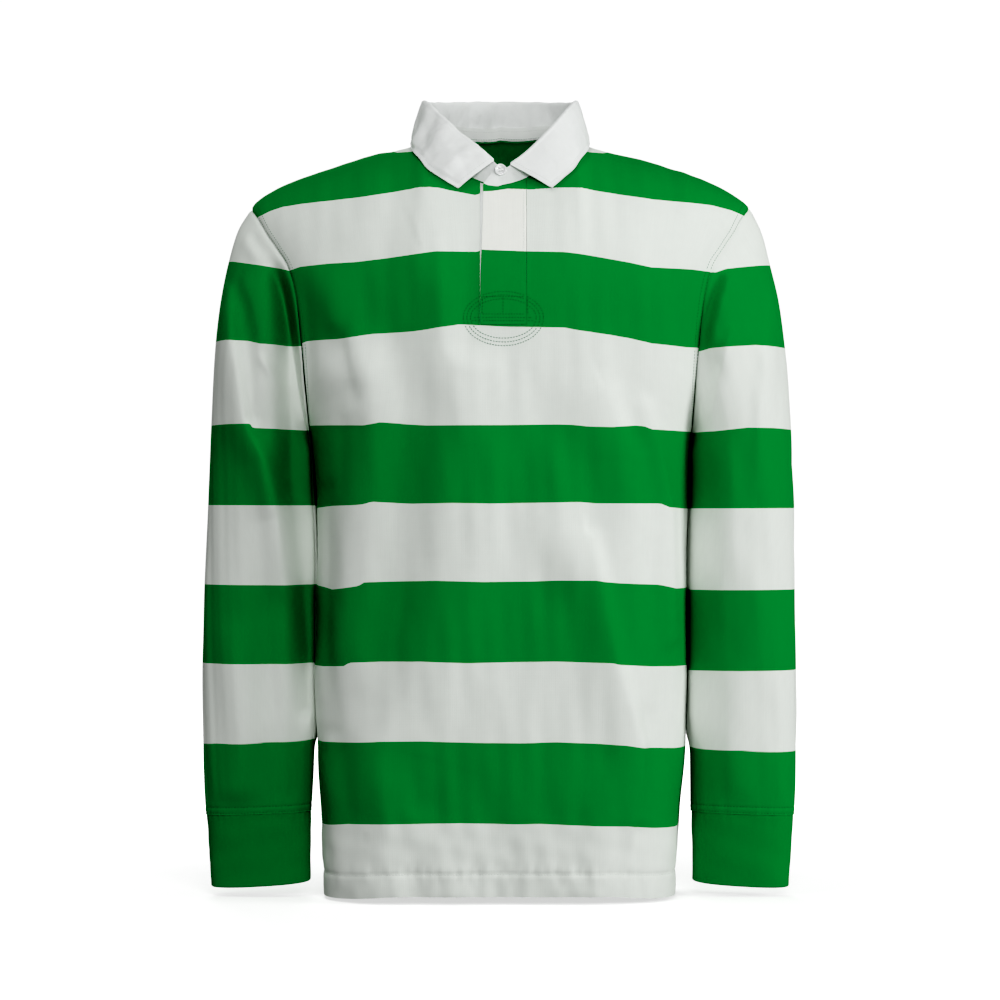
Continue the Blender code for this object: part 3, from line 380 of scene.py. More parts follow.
# The back below the chest, at the wearer's right and left side seams, and above it along the cloth.
BACK_STRIPES_LOW = ((-190.9, -194.9), (-268.5, -274.5), (-347.0, -348.1), (-422.4, -424.4), (-498.0, -498.7),
                    (-571.0, -576.8), (-650.0, -652.4), (-722.0, -724.0))
BACK_STRIPES_HIGH = (0.270, 0.117, 0.041)
# The sleeves', by the distance out from the shirt's middle.
SLEEVE_STRIPES = {
    Side.RIGHT: (
        StripeEdge(((180, -30), (290, -30))),
        StripeEdge(((200, -121.8), (212, -118.5), (238, -114), (258, -110.2), (290, -109.4))),
        StripeEdge(((183, -193.4), (200, -192.6), (228, -191.2), (240, -188.2), (262, -187), (290, -188.3))),
        StripeEdge(((183, -273), (208, -272.4), (235.4, -271.4), (238, -267.4), (262, -267.6), (290, -269))),
        *(StripeEdge(((183, inner), (290, outer))) for inner, outer in (
            (-345.2, -344.8), (-421.7, -421.3), (-497.2, -497.0), (-570.6, -574.5), (-760, -760),
        )),
    ),
    Side.LEFT: (
        StripeEdge(((180, -30), (290, -30))),
        StripeEdge(((206, -123.2), (216, -119.5), (240, -116), (262, -113.2), (290, -112.2))),
        StripeEdge(((183, -198.9), (192, -197.8), (200, -195.4), (244, -191.9), (275, -193.4),
            (290, -193.6))),
        StripeEdge(((183, -275.5), (205, -274.4), (236, -271.0), (262, -271.2), (290, -272.6))),
        *(StripeEdge(((183, inner), (290, outer))) for inner, outer in (
            (-348.0, -347.7), (-426.3, -426.1), (-503.8, -503.6), (-578.3, -582.1), (-760, -760),
        )),
    ),
}


def stripe_number(heights: Array, edges: Array, first: int) -> Array:
    """How many stripes down a place is: even numbers up to the next are green, odd ones white.

    Args:
        heights: the height of each place.
        edges: the height of each edge there, from the top down, on a last axis.
        first: the number of the first edge.

    Returns:
        The number, with how far the place is through its stripe.
    """
    number = first + np.clip((edges[..., 0] - heights) / 0.075, -0.9, 0.0)
    for i in range(edges.shape[-1] - 1):
        top, low = edges[..., i], edges[..., i + 1]
        share = (top - heights) / np.maximum(top - low, 1e-6)
        number = np.where(heights <= top, first + i + np.clip(share, 0.0, 1.0), number)
    return number


# ---- the body's form ----


@dataclass
class BodyForm:
    """The smooth form of front and back, on which the CAD solids are built too."""

    hem: float = -0.7145
    hem_dip: float = 0.0040
    hem_turn: float = 0.022
    underarm: float = -0.275
    chest: float = -0.160
    vent_top: float = -0.636
    vent_open: float = 0.0030  # how far each side of a vent stands open at the hem
    neck_half: float = 0.074
    neck_front: float = 0.0873
    neck_back: float = 0.058
    slot_right: float = -0.0189
    slot_left: float = 0.0252
    slot_foot: float = -0.1755
    half_gap: float = 0.00015  # half of the gap between the front and the back
    # level, half width on the wearer's right and left, depth in front and behind, squareness
    sections: tuple[Row, ...] = (
        (-0.7145, 0.1665, 0.1690, 0.112, 0.113, 3.6),
        (-0.655, 0.1693, 0.1727, 0.116, 0.117, 3.2),
        (-0.575, 0.1741, 0.1800, 0.119, 0.120, 2.8),
        (-0.497, 0.1772, 0.1812, 0.121, 0.119, 2.7),
        (-0.420, 0.1768, 0.1806, 0.123, 0.116, 2.65),
        (-0.344, 0.1772, 0.1814, 0.127, 0.118, 2.6),
        (-0.275, 0.1835, 0.1850, 0.131, 0.123, 2.6),
        (-0.220, 0.1985, 0.2000, 0.133, 0.126, 2.55),
        (-0.160, 0.2150, 0.2160, 0.132, 0.126, 2.5),
        (-0.080, 0.2400, 0.2410, 0.131, 0.125, 2.45),
        (0.000, 0.2620, 0.2620, 0.130, 0.125, 2.4),
    )
    # level and reach of the armhole seam
    armhole: tuple[Row, ...] = (
        (-0.235, 0.1868), (-0.190, 0.1905), (-0.160, 0.1935), (-0.141, 0.1975), (-0.123, 0.2045),
        (-0.108, 0.2140), (-0.084, 0.2265), (-0.050, 0.2365), (-0.027, 0.2405), (0.000, 0.2415),
    )
    # distance from the middle, and the height of the line over the shoulder in front and behind
    shoulder: tuple[Row, ...] = (
        (0.000, 0.0010, 0.0364), (0.040, 0.0050, 0.0290), (0.074, 0.0105, 0.0105), (0.087, 0.0020, 0.0020),
        (0.100, -0.0020, -0.0020), (0.135, -0.0097, -0.0097), (0.160, -0.0175, -0.0175),
        (0.205, -0.0333, -0.0333), (0.220, -0.0407, -0.0407), (0.2415, -0.0563, -0.0563),
        (0.262, -0.0800, -0.0800),
    )

    def __post_init__(self) -> None:
        """Draws the curves through the tables."""
        self.half_width = {-1: table_curve(self.sections, 0, 1), 1: table_curve(self.sections, 0, 2)}
        self.depth = {-1: table_curve(self.sections, 0, 3), 1: table_curve(self.sections, 0, 4)}
        self.square = table_curve(self.sections, 0, 5)
        self.ridge = {-1: table_curve(self.shoulder, 0, 1), 1: table_curve(self.shoulder, 0, 2)}
        self.neck_reach = {-1: self.neck_front, 1: self.neck_back}

    def armhole_reach(self, hand: int, level: float) -> float:
        """How far out the panel's edge lies: the side line, or the armhole seam above it."""
        side = float(self.half_width[hand](self.underarm))
        rows = ((self.underarm, side), *self.armhole)
        if level <= self.underarm:
            return float(self.half_width[hand](level))
        return float(table_curve(rows, 0, 1)(level))

    def vent_setback(self, level: float) -> float:
        """How far the panel's edge stands back from the side line."""
        share = (self.vent_top - level) / (self.vent_top - self.hem)
        return self.half_gap + self.vent_open * float(fade(share))

    def widen(self, out: Array, level: float) -> Array:
        """Where a column that stands at out at the chest goes above it."""
        widest = self.armhole_reach(1, self.chest)
        wider = self.armhole_reach(1, level) / widest - 1
        return out * (1 + wider * (out / widest) ** 3)

    def neck_place(self, face: int, hand: int, out: Array) -> Array:
        """Where such a column ends: those inside the neck are spread evenly round its seam."""
        top = self.widen(out, 0.0)
        start = {-1: -self.slot_right, 1: self.slot_left}[hand] if face < 0 else 0.0
        share = np.clip((top - start) / (self.neck_half - start), 0.0, 1.0)
        first = np.arcsin(start / self.neck_half)
        spread = self.neck_half * np.sin(first + (pi / 2 - first) * share)
        return np.where((top < start) | (top > self.neck_half), top, spread)

    def bulge(self, face: int, hand: int, x: Array, level: float) -> Array:
        """How far the body stands out at x, before it leans back to the shoulder."""
        square = self.square(level)
        share = np.clip(np.abs(x) / self.half_width[hand](level), 0.0, 1.0)
        return self.depth[face](level) * (1 - share**square) ** (1 / square)

    def half_section(self, face: int, hand: int, level: float, samples: int = 700) -> Array:
        """One half of a section from the middle to the edge, at the chest or below."""
        square = float(self.square(level))
        half = float(self.half_width[hand](level))
        reach = min(self.armhole_reach(hand, level) / half, 1.0)
        turn = np.linspace(0.0, 1.0, samples) * np.arcsin(reach ** (square / 2))
        x = half * np.sin(turn) ** (2 / square)
        y = self.depth[face](level) * np.clip(np.cos(turn), 0.0, 1.0) ** (2 / square)
        return np.stack([hand * x, face * y, np.full_like(x, level)], axis=1)

    def columns_at(self, face: int, level: float, cloth: Array) -> Array:
        """The points of one row at the chest or below, for columns at these lengths along the cloth."""
        row = np.zeros((len(cloth), 3))
        for hand in (-1, 1):
            mine = cloth * hand >= 0
            section = self.half_section(face, hand, level)
            along = lengths_along(section)
            full = lengths_along(self.half_section(face, hand, self.chest))[-1]
            wanted = np.abs(cloth[mine])
            wanted = wanted + (along[-1] - self.vent_setback(level) - full) * (wanted / full) ** 3
            row[mine] = places_on(section, along, wanted)
        return row

    def side_reach(self, hand: int, y: Array, z: Array) -> Array:
        """How far out the body's side lies, below the underarm, at these depths and heights."""
        square = self.square(z)
        depth = np.where(y < 0, self.depth[-1](z), self.depth[1](z))
        share = np.clip(np.abs(y) / depth, 0.0, 1.0)
        return self.half_width[hand](z) * (1 - share**square) ** (1 / square)

    def lean_to(self, face: int, x: Array) -> Array:
        """The angle through which a column leans back at its top."""
        share = np.clip(np.abs(x) / self.neck_half, 0.0, 1.0)
        seam = self.neck_reach[face] * np.sqrt(1 - share**2)
        return np.arccos(np.clip(seam / self.bulge(face, 1, x, 0.0), 0.0, 1.0))

    def leaned(self, face: int, x: Array, level: float, share: float) -> Array:
        """Points above the chest: share is 0 there and 1 at the shoulder or neck seam."""
        angle = share * self.lean_to(face, x)
        depth = np.where(x < 0, self.bulge(face, -1, x, level), self.bulge(face, 1, x, level))
        z = self.chest + (self.ridge[face](np.abs(x)) - self.chest) * np.sin(angle)
        return np.stack([x, face * depth * np.cos(angle), z], axis=-1)

    def panel(self, face: int, cloth: Array, levels: Array, shares: Array) -> Array:
        """The smooth outside of a panel: rows for the levels up to the chest, then for the shares."""
        rows = [self.columns_at(face, level, cloth) for level in levels]
        at_chest = rows[-1][:, 0]
        out = np.abs(at_chest)
        left = self.neck_place(face, 1, out)
        top = np.where(at_chest < 0, self.neck_place(face, -1, out), left)
        for share in shares:
            level = self.chest * (1 - share)
            x = self.widen(out, level) + (top - self.widen(out, 0.0)) * fade(share)
            rows.append(self.leaned(face, np.sign(at_chest) * x, level, share))
        return np.array(rows)

    def chest_length(self, face: int, hand: int) -> float:
        """The cloth from the middle to the edge of a panel at the chest."""
        section = self.half_section(face, hand, self.chest)
        return lengths_along(section)[-1] - self.vent_setback(self.chest)

    def neck_column(self, face: int, hand: int) -> float:
        """The cloth at the chest from the middle to the column that ends at the corner of the neck."""
        section = self.half_section(face, hand, self.chest)
        return float(
            np.interp(self.neck_half, self.widen(np.abs(section[:, 0]), 0.0), lengths_along(section))
        )

    def dip(self, points: Array) -> Array:
        """How much lower the cloth hangs towards the vents."""
        share = np.abs(points[..., 0]) / self.half_width[1](self.hem)
        low = fade((self.vent_top - points[..., 2]) / (self.vent_top - self.hem))
        return self.hem_dip * low * fade((share - 0.55) / 0.4)


FORM = BodyForm()


# ---- meshes ----


def new_piece(name: str, points: Array, faces: Array | list, material: Material,
              values: dict[str, Array] | None = None, places: Array | None = None) -> Piece:
    """An object of the scene, smooth but for its sharp edges, that rides on the shirt.

    Args:
        name: its name.
        points: its points.
        faces: its faces, by the numbers of their points.
        material: what it is made of.
        values: numbers for each point that the material reads, by name.
        places: the place on the flat cloth of each corner of each face, in metres.

    Returns:
        The object.
    """
    mesh = bpy.data.meshes.new(name)
    mesh.from_pydata(points.tolist(), [], faces.tolist() if isinstance(faces, np.ndarray) else faces)
    for word, numbers in (values or {}).items():
        kept = mesh.attributes.new(word, "FLOAT", "POINT")
        kept.data.foreach_set("value", np.ascontiguousarray(numbers, dtype=np.float32).ravel())
    if places is not None:
        cloth = mesh.uv_layers.new(name="cloth")
        cloth.data.foreach_set("uv", np.ascontiguousarray(places, dtype=np.float32).ravel())
    mesh.shade_smooth()
    mesh.set_sharp_from_angle(angle=radians(55))
    mesh.materials.append(material)
    made = bpy.data.objects.new(name, mesh)
    bpy.context.scene.collection.objects.link(made)
    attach(made, "root")
    return made


def grid_quads(cells: Array, columns: int) -> Array:
    """The corners of the kept cells of a grid of points, whose last column may meet its first."""
    r, c = np.nonzero(cells)
    turn = (c + 1) % columns
    low, high = r * columns, (r + 1) * columns
    return np.stack([low + c, low + turn, high + turn, high + c], axis=1)


@dataclass
class ClothGrid:
    """A sheet of cloth as a grid of points: its outside, its inside and its place on the flat cloth.

    flat has one more column than the points where the grid is closed into a tube.
    """

    outside: Array
    inside: Array
    flat: Array
    closed: bool = False
    missing: Array | None = None
    values: dict[str, Array] = field(default_factory=dict)

    def make(self, name: str, material: Material) -> Piece:
        """Builds the closed shell between the two sides."""
        rows, columns = self.outside.shape[:2]
        across = columns if self.closed else columns - 1
        cells = np.ones((rows - 1, across), bool) if self.missing is None else ~self.missing
        r, c = np.nonzero(cells)
        quads = grid_quads(cells, columns)
        places = np.stack(
            [self.flat[r, c], self.flat[r, c + 1], self.flat[r + 1, c + 1], self.flat[r + 1, c]], axis=1,
        )
        layer = rows * columns
        edges = np.concatenate([quads[:, [i, (i + 1) % 4]] for i in range(4)])
        edge_places = np.concatenate([places[:, [i, (i + 1) % 4]] for i in range(4)])
        key = edges.min(axis=1) * layer + edges.max(axis=1)
        _, first, count = np.unique(key, return_index=True, return_counts=True)
        rim, rim_places = edges[first[count == 1]], edge_places[first[count == 1]]
        rims = np.stack([rim[:, 1], rim[:, 0], rim[:, 0] + layer, rim[:, 1] + layer], axis=1)
        rim_flat = np.stack([rim_places[:, 1], rim_places[:, 0], rim_places[:, 0], rim_places[:, 1]], axis=1)
        faces = np.concatenate([quads, quads[:, ::-1] + layer, rims])
        flat = np.concatenate([places, places[:, ::-1], rim_flat])
        points = np.concatenate([self.outside.reshape(-1, 3), self.inside.reshape(-1, 3)])
        a, b, d = points[faces[:, 0]], points[faces[:, 1]], points[faces[:, 3]]
        e = points[faces[:, 2]]
        volume = np.einsum("ij,ij->", a, np.cross(b, e)) + np.einsum("ij,ij->", a, np.cross(e, d))
        if volume < 0:
            faces, flat = faces[:, ::-1], flat[:, ::-1]
        used = np.unique(faces)
        place = np.zeros(len(points), int)
        place[used] = np.arange(len(used))
        both = {word: np.tile(numbers.ravel(), 2)[used] for word, numbers in self.values.items()}
        return new_piece(name, points[used], place[faces], material, both, flat)


@dataclass
class StitchRow:
    """A row of stitches: each is a short arch of thread that goes into the cloth at both ends."""

    stitch: float = 0.0030
    thread: float = 0.00027  # half the thread's thickness
    gap: float = 0.0006
    rings: int = 5
    sides: int = 5

    def lay(self, line: Array, normals: Array) -> tuple[Array, Array]:
        """Lays a row along a line on the cloth.

        Args:
            line: points on the cloth's outside.
            normals: the cloth's outward normals there.

        Returns:
            The points and faces of all its stitches.
        """
        along = lengths_along(line)
        count = max(int(along[-1] / self.stitch), 1)
        pitch = along[-1] / count
        t = np.linspace(0.0, 1.0, self.rings)
        at = (np.arange(count)[:, None] + (self.gap / pitch) / 2 + t[None] * (1 - self.gap / pitch)) * pitch
        spine, out = places_on(line, along, at), unit(places_on(normals, along, at))
        spine = spine + out * ((np.sin(pi * t) * 1.1 - 0.75) * self.thread)[None, :, None]
        way = unit(np.gradient(spine, axis=1))
        aside = np.cross(way, out)
        turn = np.arange(self.sides) * 2 * pi / self.sides
        thick = self.thread * (0.72 + 0.28 * np.sin(pi * t))
        over, up = (v[None, None, :, None] * thick[None, :, None, None] for v in (np.cos(turn), np.sin(turn)))
        rim = spine[:, :, None] + aside[:, :, None] * over + out[:, :, None] * up
        k, r, s = np.meshgrid(
            np.arange(count), np.arange(self.rings - 1), np.arange(self.sides), indexing="ij",
        )
        base = (k * self.rings + r) * self.sides
        n = (s + 1) % self.sides
        faces = np.stack(
            [base + s, base + n, base + self.sides + n, base + self.sides + s], axis=-1,
        ).reshape(-1, 4)
        return rim.reshape(-1, 3), faces


def sew(name: str, rows: list[Line], material: Material, row: StitchRow) -> Piece:
    """One piece of many rows of stitches, each given as a line and its normals."""
    points, faces, start = [], [], 0
    for line, normals in rows:
        p, f = row.lay(line, normals)
        points.append(p)
        faces.append(f + start)
        start += len(p)
    return new_piece(name, np.concatenate(points), np.concatenate(faces), material)


class Draper:
    """Lays lines drawn on the flat view of a panel onto its cloth."""

    def __init__(self, grid: Array, missing: Array | None, face: int) -> None:
        """Keeps the cloth's outside to look up."""
        rows, columns = grid.shape[:2]
        keep = np.ones((rows - 1, columns - 1), bool) if missing is None else ~missing
        quads = grid_quads(keep, columns)
        self.tree = BVHTree.FromPolygons(grid.reshape(-1, 3).tolist(), quads.tolist())
        self.face = face

    def lay(self, line: Array) -> Line:
        """Points on the cloth and its normals under a line of x and z."""
        points, normals = [], []
        for x, z in line:
            hit, normal, _, _ = self.tree.ray_cast(Vector((x, self.face, z)), Vector((0.0, -self.face, 0.0)))
            if hit is None:
                continue
            points.append(hit)
            normals.append(normal if normal.y * self.face > 0 else -normal)
        return np.array(points), np.array(normals)


# ---- finishes ----


def linear(colour: str) -> tuple[float, float, float, float]:
    """An sRGB hex colour as the linear numbers that a shader takes."""
    parts = [int(colour[i : i + 2], 16) / 255 for i in (1, 3, 5)]
    return (*(p / 12.92 if p <= 0.04045 else ((p + 0.055) / 1.055) ** 2.4 for p in parts), 1.0)


def feed(node: Node, inputs: dict) -> None:
    """Sets a node's inputs.

    Args:
        node: the node.
        inputs: for each, by name or number, a value, or the output or the node that is linked to it.
    """
    for key, value in inputs.items():
        if isinstance(value, Node):
            value = next(output for output in value.outputs if output.enabled)
        if isinstance(value, bpy.types.NodeSocket):
            node.id_data.links.new(value, node.inputs[key])
        else:
            node.inputs[key].default_value = value


def add_node(tree: Tree, kind: str, inputs: dict | None = None, **settings: object) -> Node:
    """Adds a node.

    Args:
        tree: the material's node tree.
        kind: the node's type, without the word ShaderNode.
        inputs: what goes into it, as feed takes it.
        settings: its other settings.

    Returns:
        The node.
    """
    node = tree.nodes.new(f"ShaderNode{kind}")
    for name, value in settings.items():
        setattr(node, name, value)
    feed(node, inputs or {})
    return node


def new_finish(name: str, **sockets: float | tuple) -> tuple[Material, Tree, Node]:
    """A material with its shader, whose sockets are set by name with underscores for spaces."""
    material = bpy.data.materials.new(name)
    material.use_nodes = True
    shader = material.node_tree.nodes["Principled BSDF"]
    feed(shader, {key.replace("_", " "): value for key, value in sockets.items()})
    return material, material.node_tree, shader


def uneven(tree: Tree, colour: object, factor: Node) -> Node:
    """A colour that a factor makes a little lighter and darker from place to place."""
    grey = add_node(tree, "CombineColor", {0: factor, 1: factor, 2: factor})
    return add_node(tree, "Mix", {0: 1.0, 6: colour, 7: grey}, data_type="RGBA", blend_type="MULTIPLY")


@dataclass(frozen=True)
class KnitJersey:
    """Heavy cotton jersey, dyed in the yarn and knitted, then washed.

    Matt, with no gloss at all: fine upright ribs of loops, faint upright streaks where the yarn's
    thickness changes, and a soft cloudiness. Green and white meet at one row of loops.
    """

    white: str = "#E4EAE3"
    green: str = "#00832B"
    striped: bool = True
    wale: float = 0.0017  # real loops stand 1.2 mm apart: drawn coarser, or they would be finer than a pixel
    course: float = 0.0015
    edge: float = 38.0  # how sharply one colour turns into the other
    roughness: float = 0.93
    streaks: tuple[float, float, float] = (520.0, 24.0, 1.0)  # how many in a metre, across and up

    def make(self, name: str) -> Material:
        """Builds the material."""
        material, tree, shader = new_finish(name, Roughness=self.roughness, IOR=1.5, Specular_IOR_Level=0.02)
        flat = add_node(tree, "UVMap", uv_map="cloth")
        across, up, _ = add_node(tree, "SeparateXYZ", {0: flat}).outputs
        wales = add_node(tree, "Math", {0: across, 1: 1 / self.wale}, operation="MULTIPLY")
        courses = add_node(tree, "Math", {0: up, 1: 1 / self.course}, operation="MULTIPLY")
        rib = add_node(tree, "Math", {0: wales, 1: 0.5}, operation="PINGPONG")
        slant = add_node(tree, "Math", {0: courses, 1: rib}, operation="ADD")
        loop = add_node(tree, "Math", {0: slant, 1: 0.5}, operation="PINGPONG")
        knit = add_node(tree, "Math", {0: rib, 1: 0.7, 2: loop}, operation="MULTIPLY_ADD")
        drawn = add_node(tree, "VectorMath", {0: flat, 1: self.streaks}, operation="MULTIPLY")
        streak = add_node(tree, "TexNoise", {"Vector": drawn, "Scale": 1.0, "Detail": 3.0, "Roughness": 0.6})
        cloud = add_node(tree, "TexNoise", {"Vector": flat, "Scale": 90.0, "Detail": 4.0, "Roughness": 0.55})
        base = linear(self.green)
        if self.striped:
            number = add_node(tree, "Attribute", attribute_name="stripe").outputs["Fac"]
            half = add_node(tree, "Math", {0: number, 1: pi}, operation="MULTIPLY")
            wave = {0: add_node(tree, "Math", {0: half}, operation="SINE"), 1: self.edge, 2: 0.5}
            green = add_node(tree, "Math", wave, operation="MULTIPLY_ADD", use_clamp=True)
            base = add_node(tree, "Mix", {0: green, 6: linear(self.white), 7: base}, data_type="RGBA")
        soft, line = (
            add_node(tree, "MapRange", {0: spots, 1: 0.3, 2: 0.7, 3: 0.985, 4: 1.01})
            for spots in (cloud, streak)
        )
        both = add_node(tree, "Math", {0: soft, 1: line}, operation="MULTIPLY")
        loops = add_node(tree, "Bump", {"Height": knit, "Strength": 0.16, "Distance": 0.0004})
        fuzz = {"Height": streak, "Strength": 0.14, "Distance": 0.0005, "Normal": loops}
        feed(shader, {"Base Color": uneven(tree, base, both), "Normal": add_node(tree, "Bump", fuzz)})
        return material


@dataclass(frozen=True)
class CottonTwill:
    """White cotton twill, woven in fine slanting lines and washed until it puckers.

    Matt and a little brighter than the jersey, with slanting ribs and the unevenness of washed cloth.
    """

    white: str = "#EEF1EF"
    rib: float = 0.0012  # real twill lines are 0.5 mm apart: drawn coarser, or they would not show
    slant: float = 0.62
    roughness: float = 0.88
    herringbone: float = 0.0  # the width of a herringbone's columns, or 0 for plain twill

    def make(self, name: str) -> Material:
        """Builds the material."""
        sheen = {"Sheen_Weight": 0.04, "Sheen_Roughness": 0.5}
        material, tree, shader = new_finish(
            name, Roughness=self.roughness, IOR=1.5, Specular_IOR_Level=0.10, **sheen,
        )
        flat = add_node(tree, "UVMap", uv_map="cloth")
        across, up, _ = add_node(tree, "SeparateXYZ", {0: flat}).outputs
        if self.herringbone:
            across = add_node(tree, "Math", {0: across, 1: self.herringbone}, operation="PINGPONG")
        tilted = add_node(tree, "Math", {0: across, 1: self.slant, 2: up}, operation="MULTIPLY_ADD")
        count = add_node(tree, "Math", {0: tilted, 1: 1 / self.rib}, operation="MULTIPLY")
        line = add_node(tree, "Math", {0: count, 1: 0.5}, operation="PINGPONG")
        cloud = add_node(tree, "TexNoise", {"Vector": flat, "Scale": 150.0, "Detail": 4.0, "Roughness": 0.6})
        soft = {"Vector": flat, "Scale": 55.0, "Detail": 3.0, "Roughness": 0.5, "Distortion": 0.4}
        wrinkle = add_node(tree, "TexNoise", soft)
        tone = add_node(tree, "MapRange", {0: cloud, 1: 0.3, 2: 0.7, 3: 0.965, 4: 1.0})
        weave = add_node(tree, "Bump", {"Height": line, "Strength": 0.3, "Distance": 0.0003})
        press = {"Height": wrinkle, "Strength": 0.28, "Distance": 0.0025, "Normal": weave}
        colour = uneven(tree, linear(self.white), tone)
        feed(shader, {"Base Color": colour, "Normal": add_node(tree, "Bump", press)})
        return material


@dataclass(frozen=True)
class SewingThread:
    """Twisted sewing thread: matt to silky, with a tight slanting twist and a slightly uneven colour."""

    colour: str
    roughness: float = 0.6

    def make(self, name: str) -> Material:
        """Builds the material."""
        material, tree, shader = new_finish(name, Roughness=self.roughness, IOR=1.5, Specular_IOR_Level=0.15)
        place = add_node(tree, "TexCoord").outputs["Object"]
        tight = {"Vector": place, "Scale": 900.0, "Distortion": 1.0}
        twist = add_node(tree, "TexWave", tight, bands_direction="DIAGONAL").outputs[1]
        cloud = add_node(tree, "TexNoise", {"Vector": place, "Scale": 160.0, "Detail": 2.0})
        tone = add_node(tree, "MapRange", {0: cloud, 1: 0.3, 2: 0.7, 3: 0.8, 4: 1.1})
        bump = add_node(tree, "Bump", {"Height": twist, "Strength": 0.3, "Distance": 0.0001})
        feed(shader, {"Base Color": uneven(tree, linear(self.colour), tone), "Normal": bump})
        return material


@dataclass(frozen=True)
class PearlResin:
    """Cast polyester resin, turned and polished: glossy milky white with soft mother-of-pearl clouds."""

    white: str = "#EFF0EE"
    shade: str = "#D9DCDD"

    def make(self, name: str) -> Material:
        """Builds the material."""
        coat = {"Coat_Weight": 0.5, "Coat_Roughness": 0.1}
        material, tree, shader = new_finish(name, Roughness=0.22, IOR=1.56, **coat)
        place = add_node(tree, "TexCoord").outputs["Object"]
        swirl = {"Vector": place, "Scale": 420.0, "Detail": 3.0, "Distortion": 1.6}
        cloud = add_node(tree, "TexNoise", swirl)
        colours = {6: linear(self.shade), 7: linear(self.white)}
        milk = add_node(tree, "Mix", {0: cloud, **colours}, data_type="RGBA")
        bump = add_node(tree, "Bump", {"Height": cloud, "Strength": 0.08, "Distance": 0.0002})
        feed(shader, {"Base Color": milk, "Normal": bump})
        return material


@dataclass(frozen=True)
class StudioPaper:
    """A roll of matt white background paper, lit until it is almost clear white."""

    white: str = "#FAFAFA"
    shade: tuple[float, ...] = (0.93, 0.93, 0.93, 1.0)
    near_glow: float = 0.50  # stands for the lamps that light only the paper
    far_glow: float = 1.0
    near: float = 0.45
    far: float = 1.3

    def make(self, name: str) -> Material:
        """Builds the material."""
        glowing = (1.0, 1.0, 1.0, 1.0)
        material, tree, shader = new_finish(
            name, Roughness=0.95, Specular_IOR_Level=0.0, Emission_Color=glowing,
        )
        place = add_node(tree, "TexCoord").outputs["Object"]
        flat = add_node(tree, "VectorMath", {0: place, 1: (1.0, 1.0, 0.0)}, operation="MULTIPLY")
        away = add_node(tree, "VectorMath", {0: flat}, operation="LENGTH")
        reach = {0: away, 1: self.near, 2: self.far, 3: self.near_glow, 4: self.far_glow}
        cloud = add_node(tree, "TexNoise", {"Vector": place, "Scale": 300.0})
        paper = add_node(tree, "Mix", {0: cloud, 6: linear(self.white), 7: self.shade}, data_type="RGBA")
        feed(shader, {"Base Color": paper, "Emission Strength": add_node(tree, "MapRange", reach)})
        return material


@dataclass
class Wardrobe:
    """Every finish of the shirt, made once."""

    def __post_init__(self) -> None:
        """Makes them."""
        self.jersey = KnitJersey().make("striped_cotton_jersey")
        # the strip's jersey is the front's, drawn with a lighter and warmer white
        self.strip_jersey = KnitJersey(white="#F1F3EC").make("lighter_warmer_striped_jersey")
        self.cuff_jersey = KnitJersey(striped=False, wale=0.0019, green="#008029").make(
            "doubled_green_jersey"
        )
        self.twill = CottonTwill().make("washed_white_twill")
        self.tape = CottonTwill(white="#E6EAE6", herringbone=0.004, rib=0.0011).make("herringbone_neck_tape")
        self.green_thread = SewingThread("#4E7A60").make("green_topstitching_thread")
        self.dark_thread = SewingThread("#00641C").make("dark_green_thread")
        self.white_thread = SewingThread("#D9DED9").make("white_cotton_thread")
        self.pearl = PearlResin().make("pearly_button_resin")


# ---- front and back ----


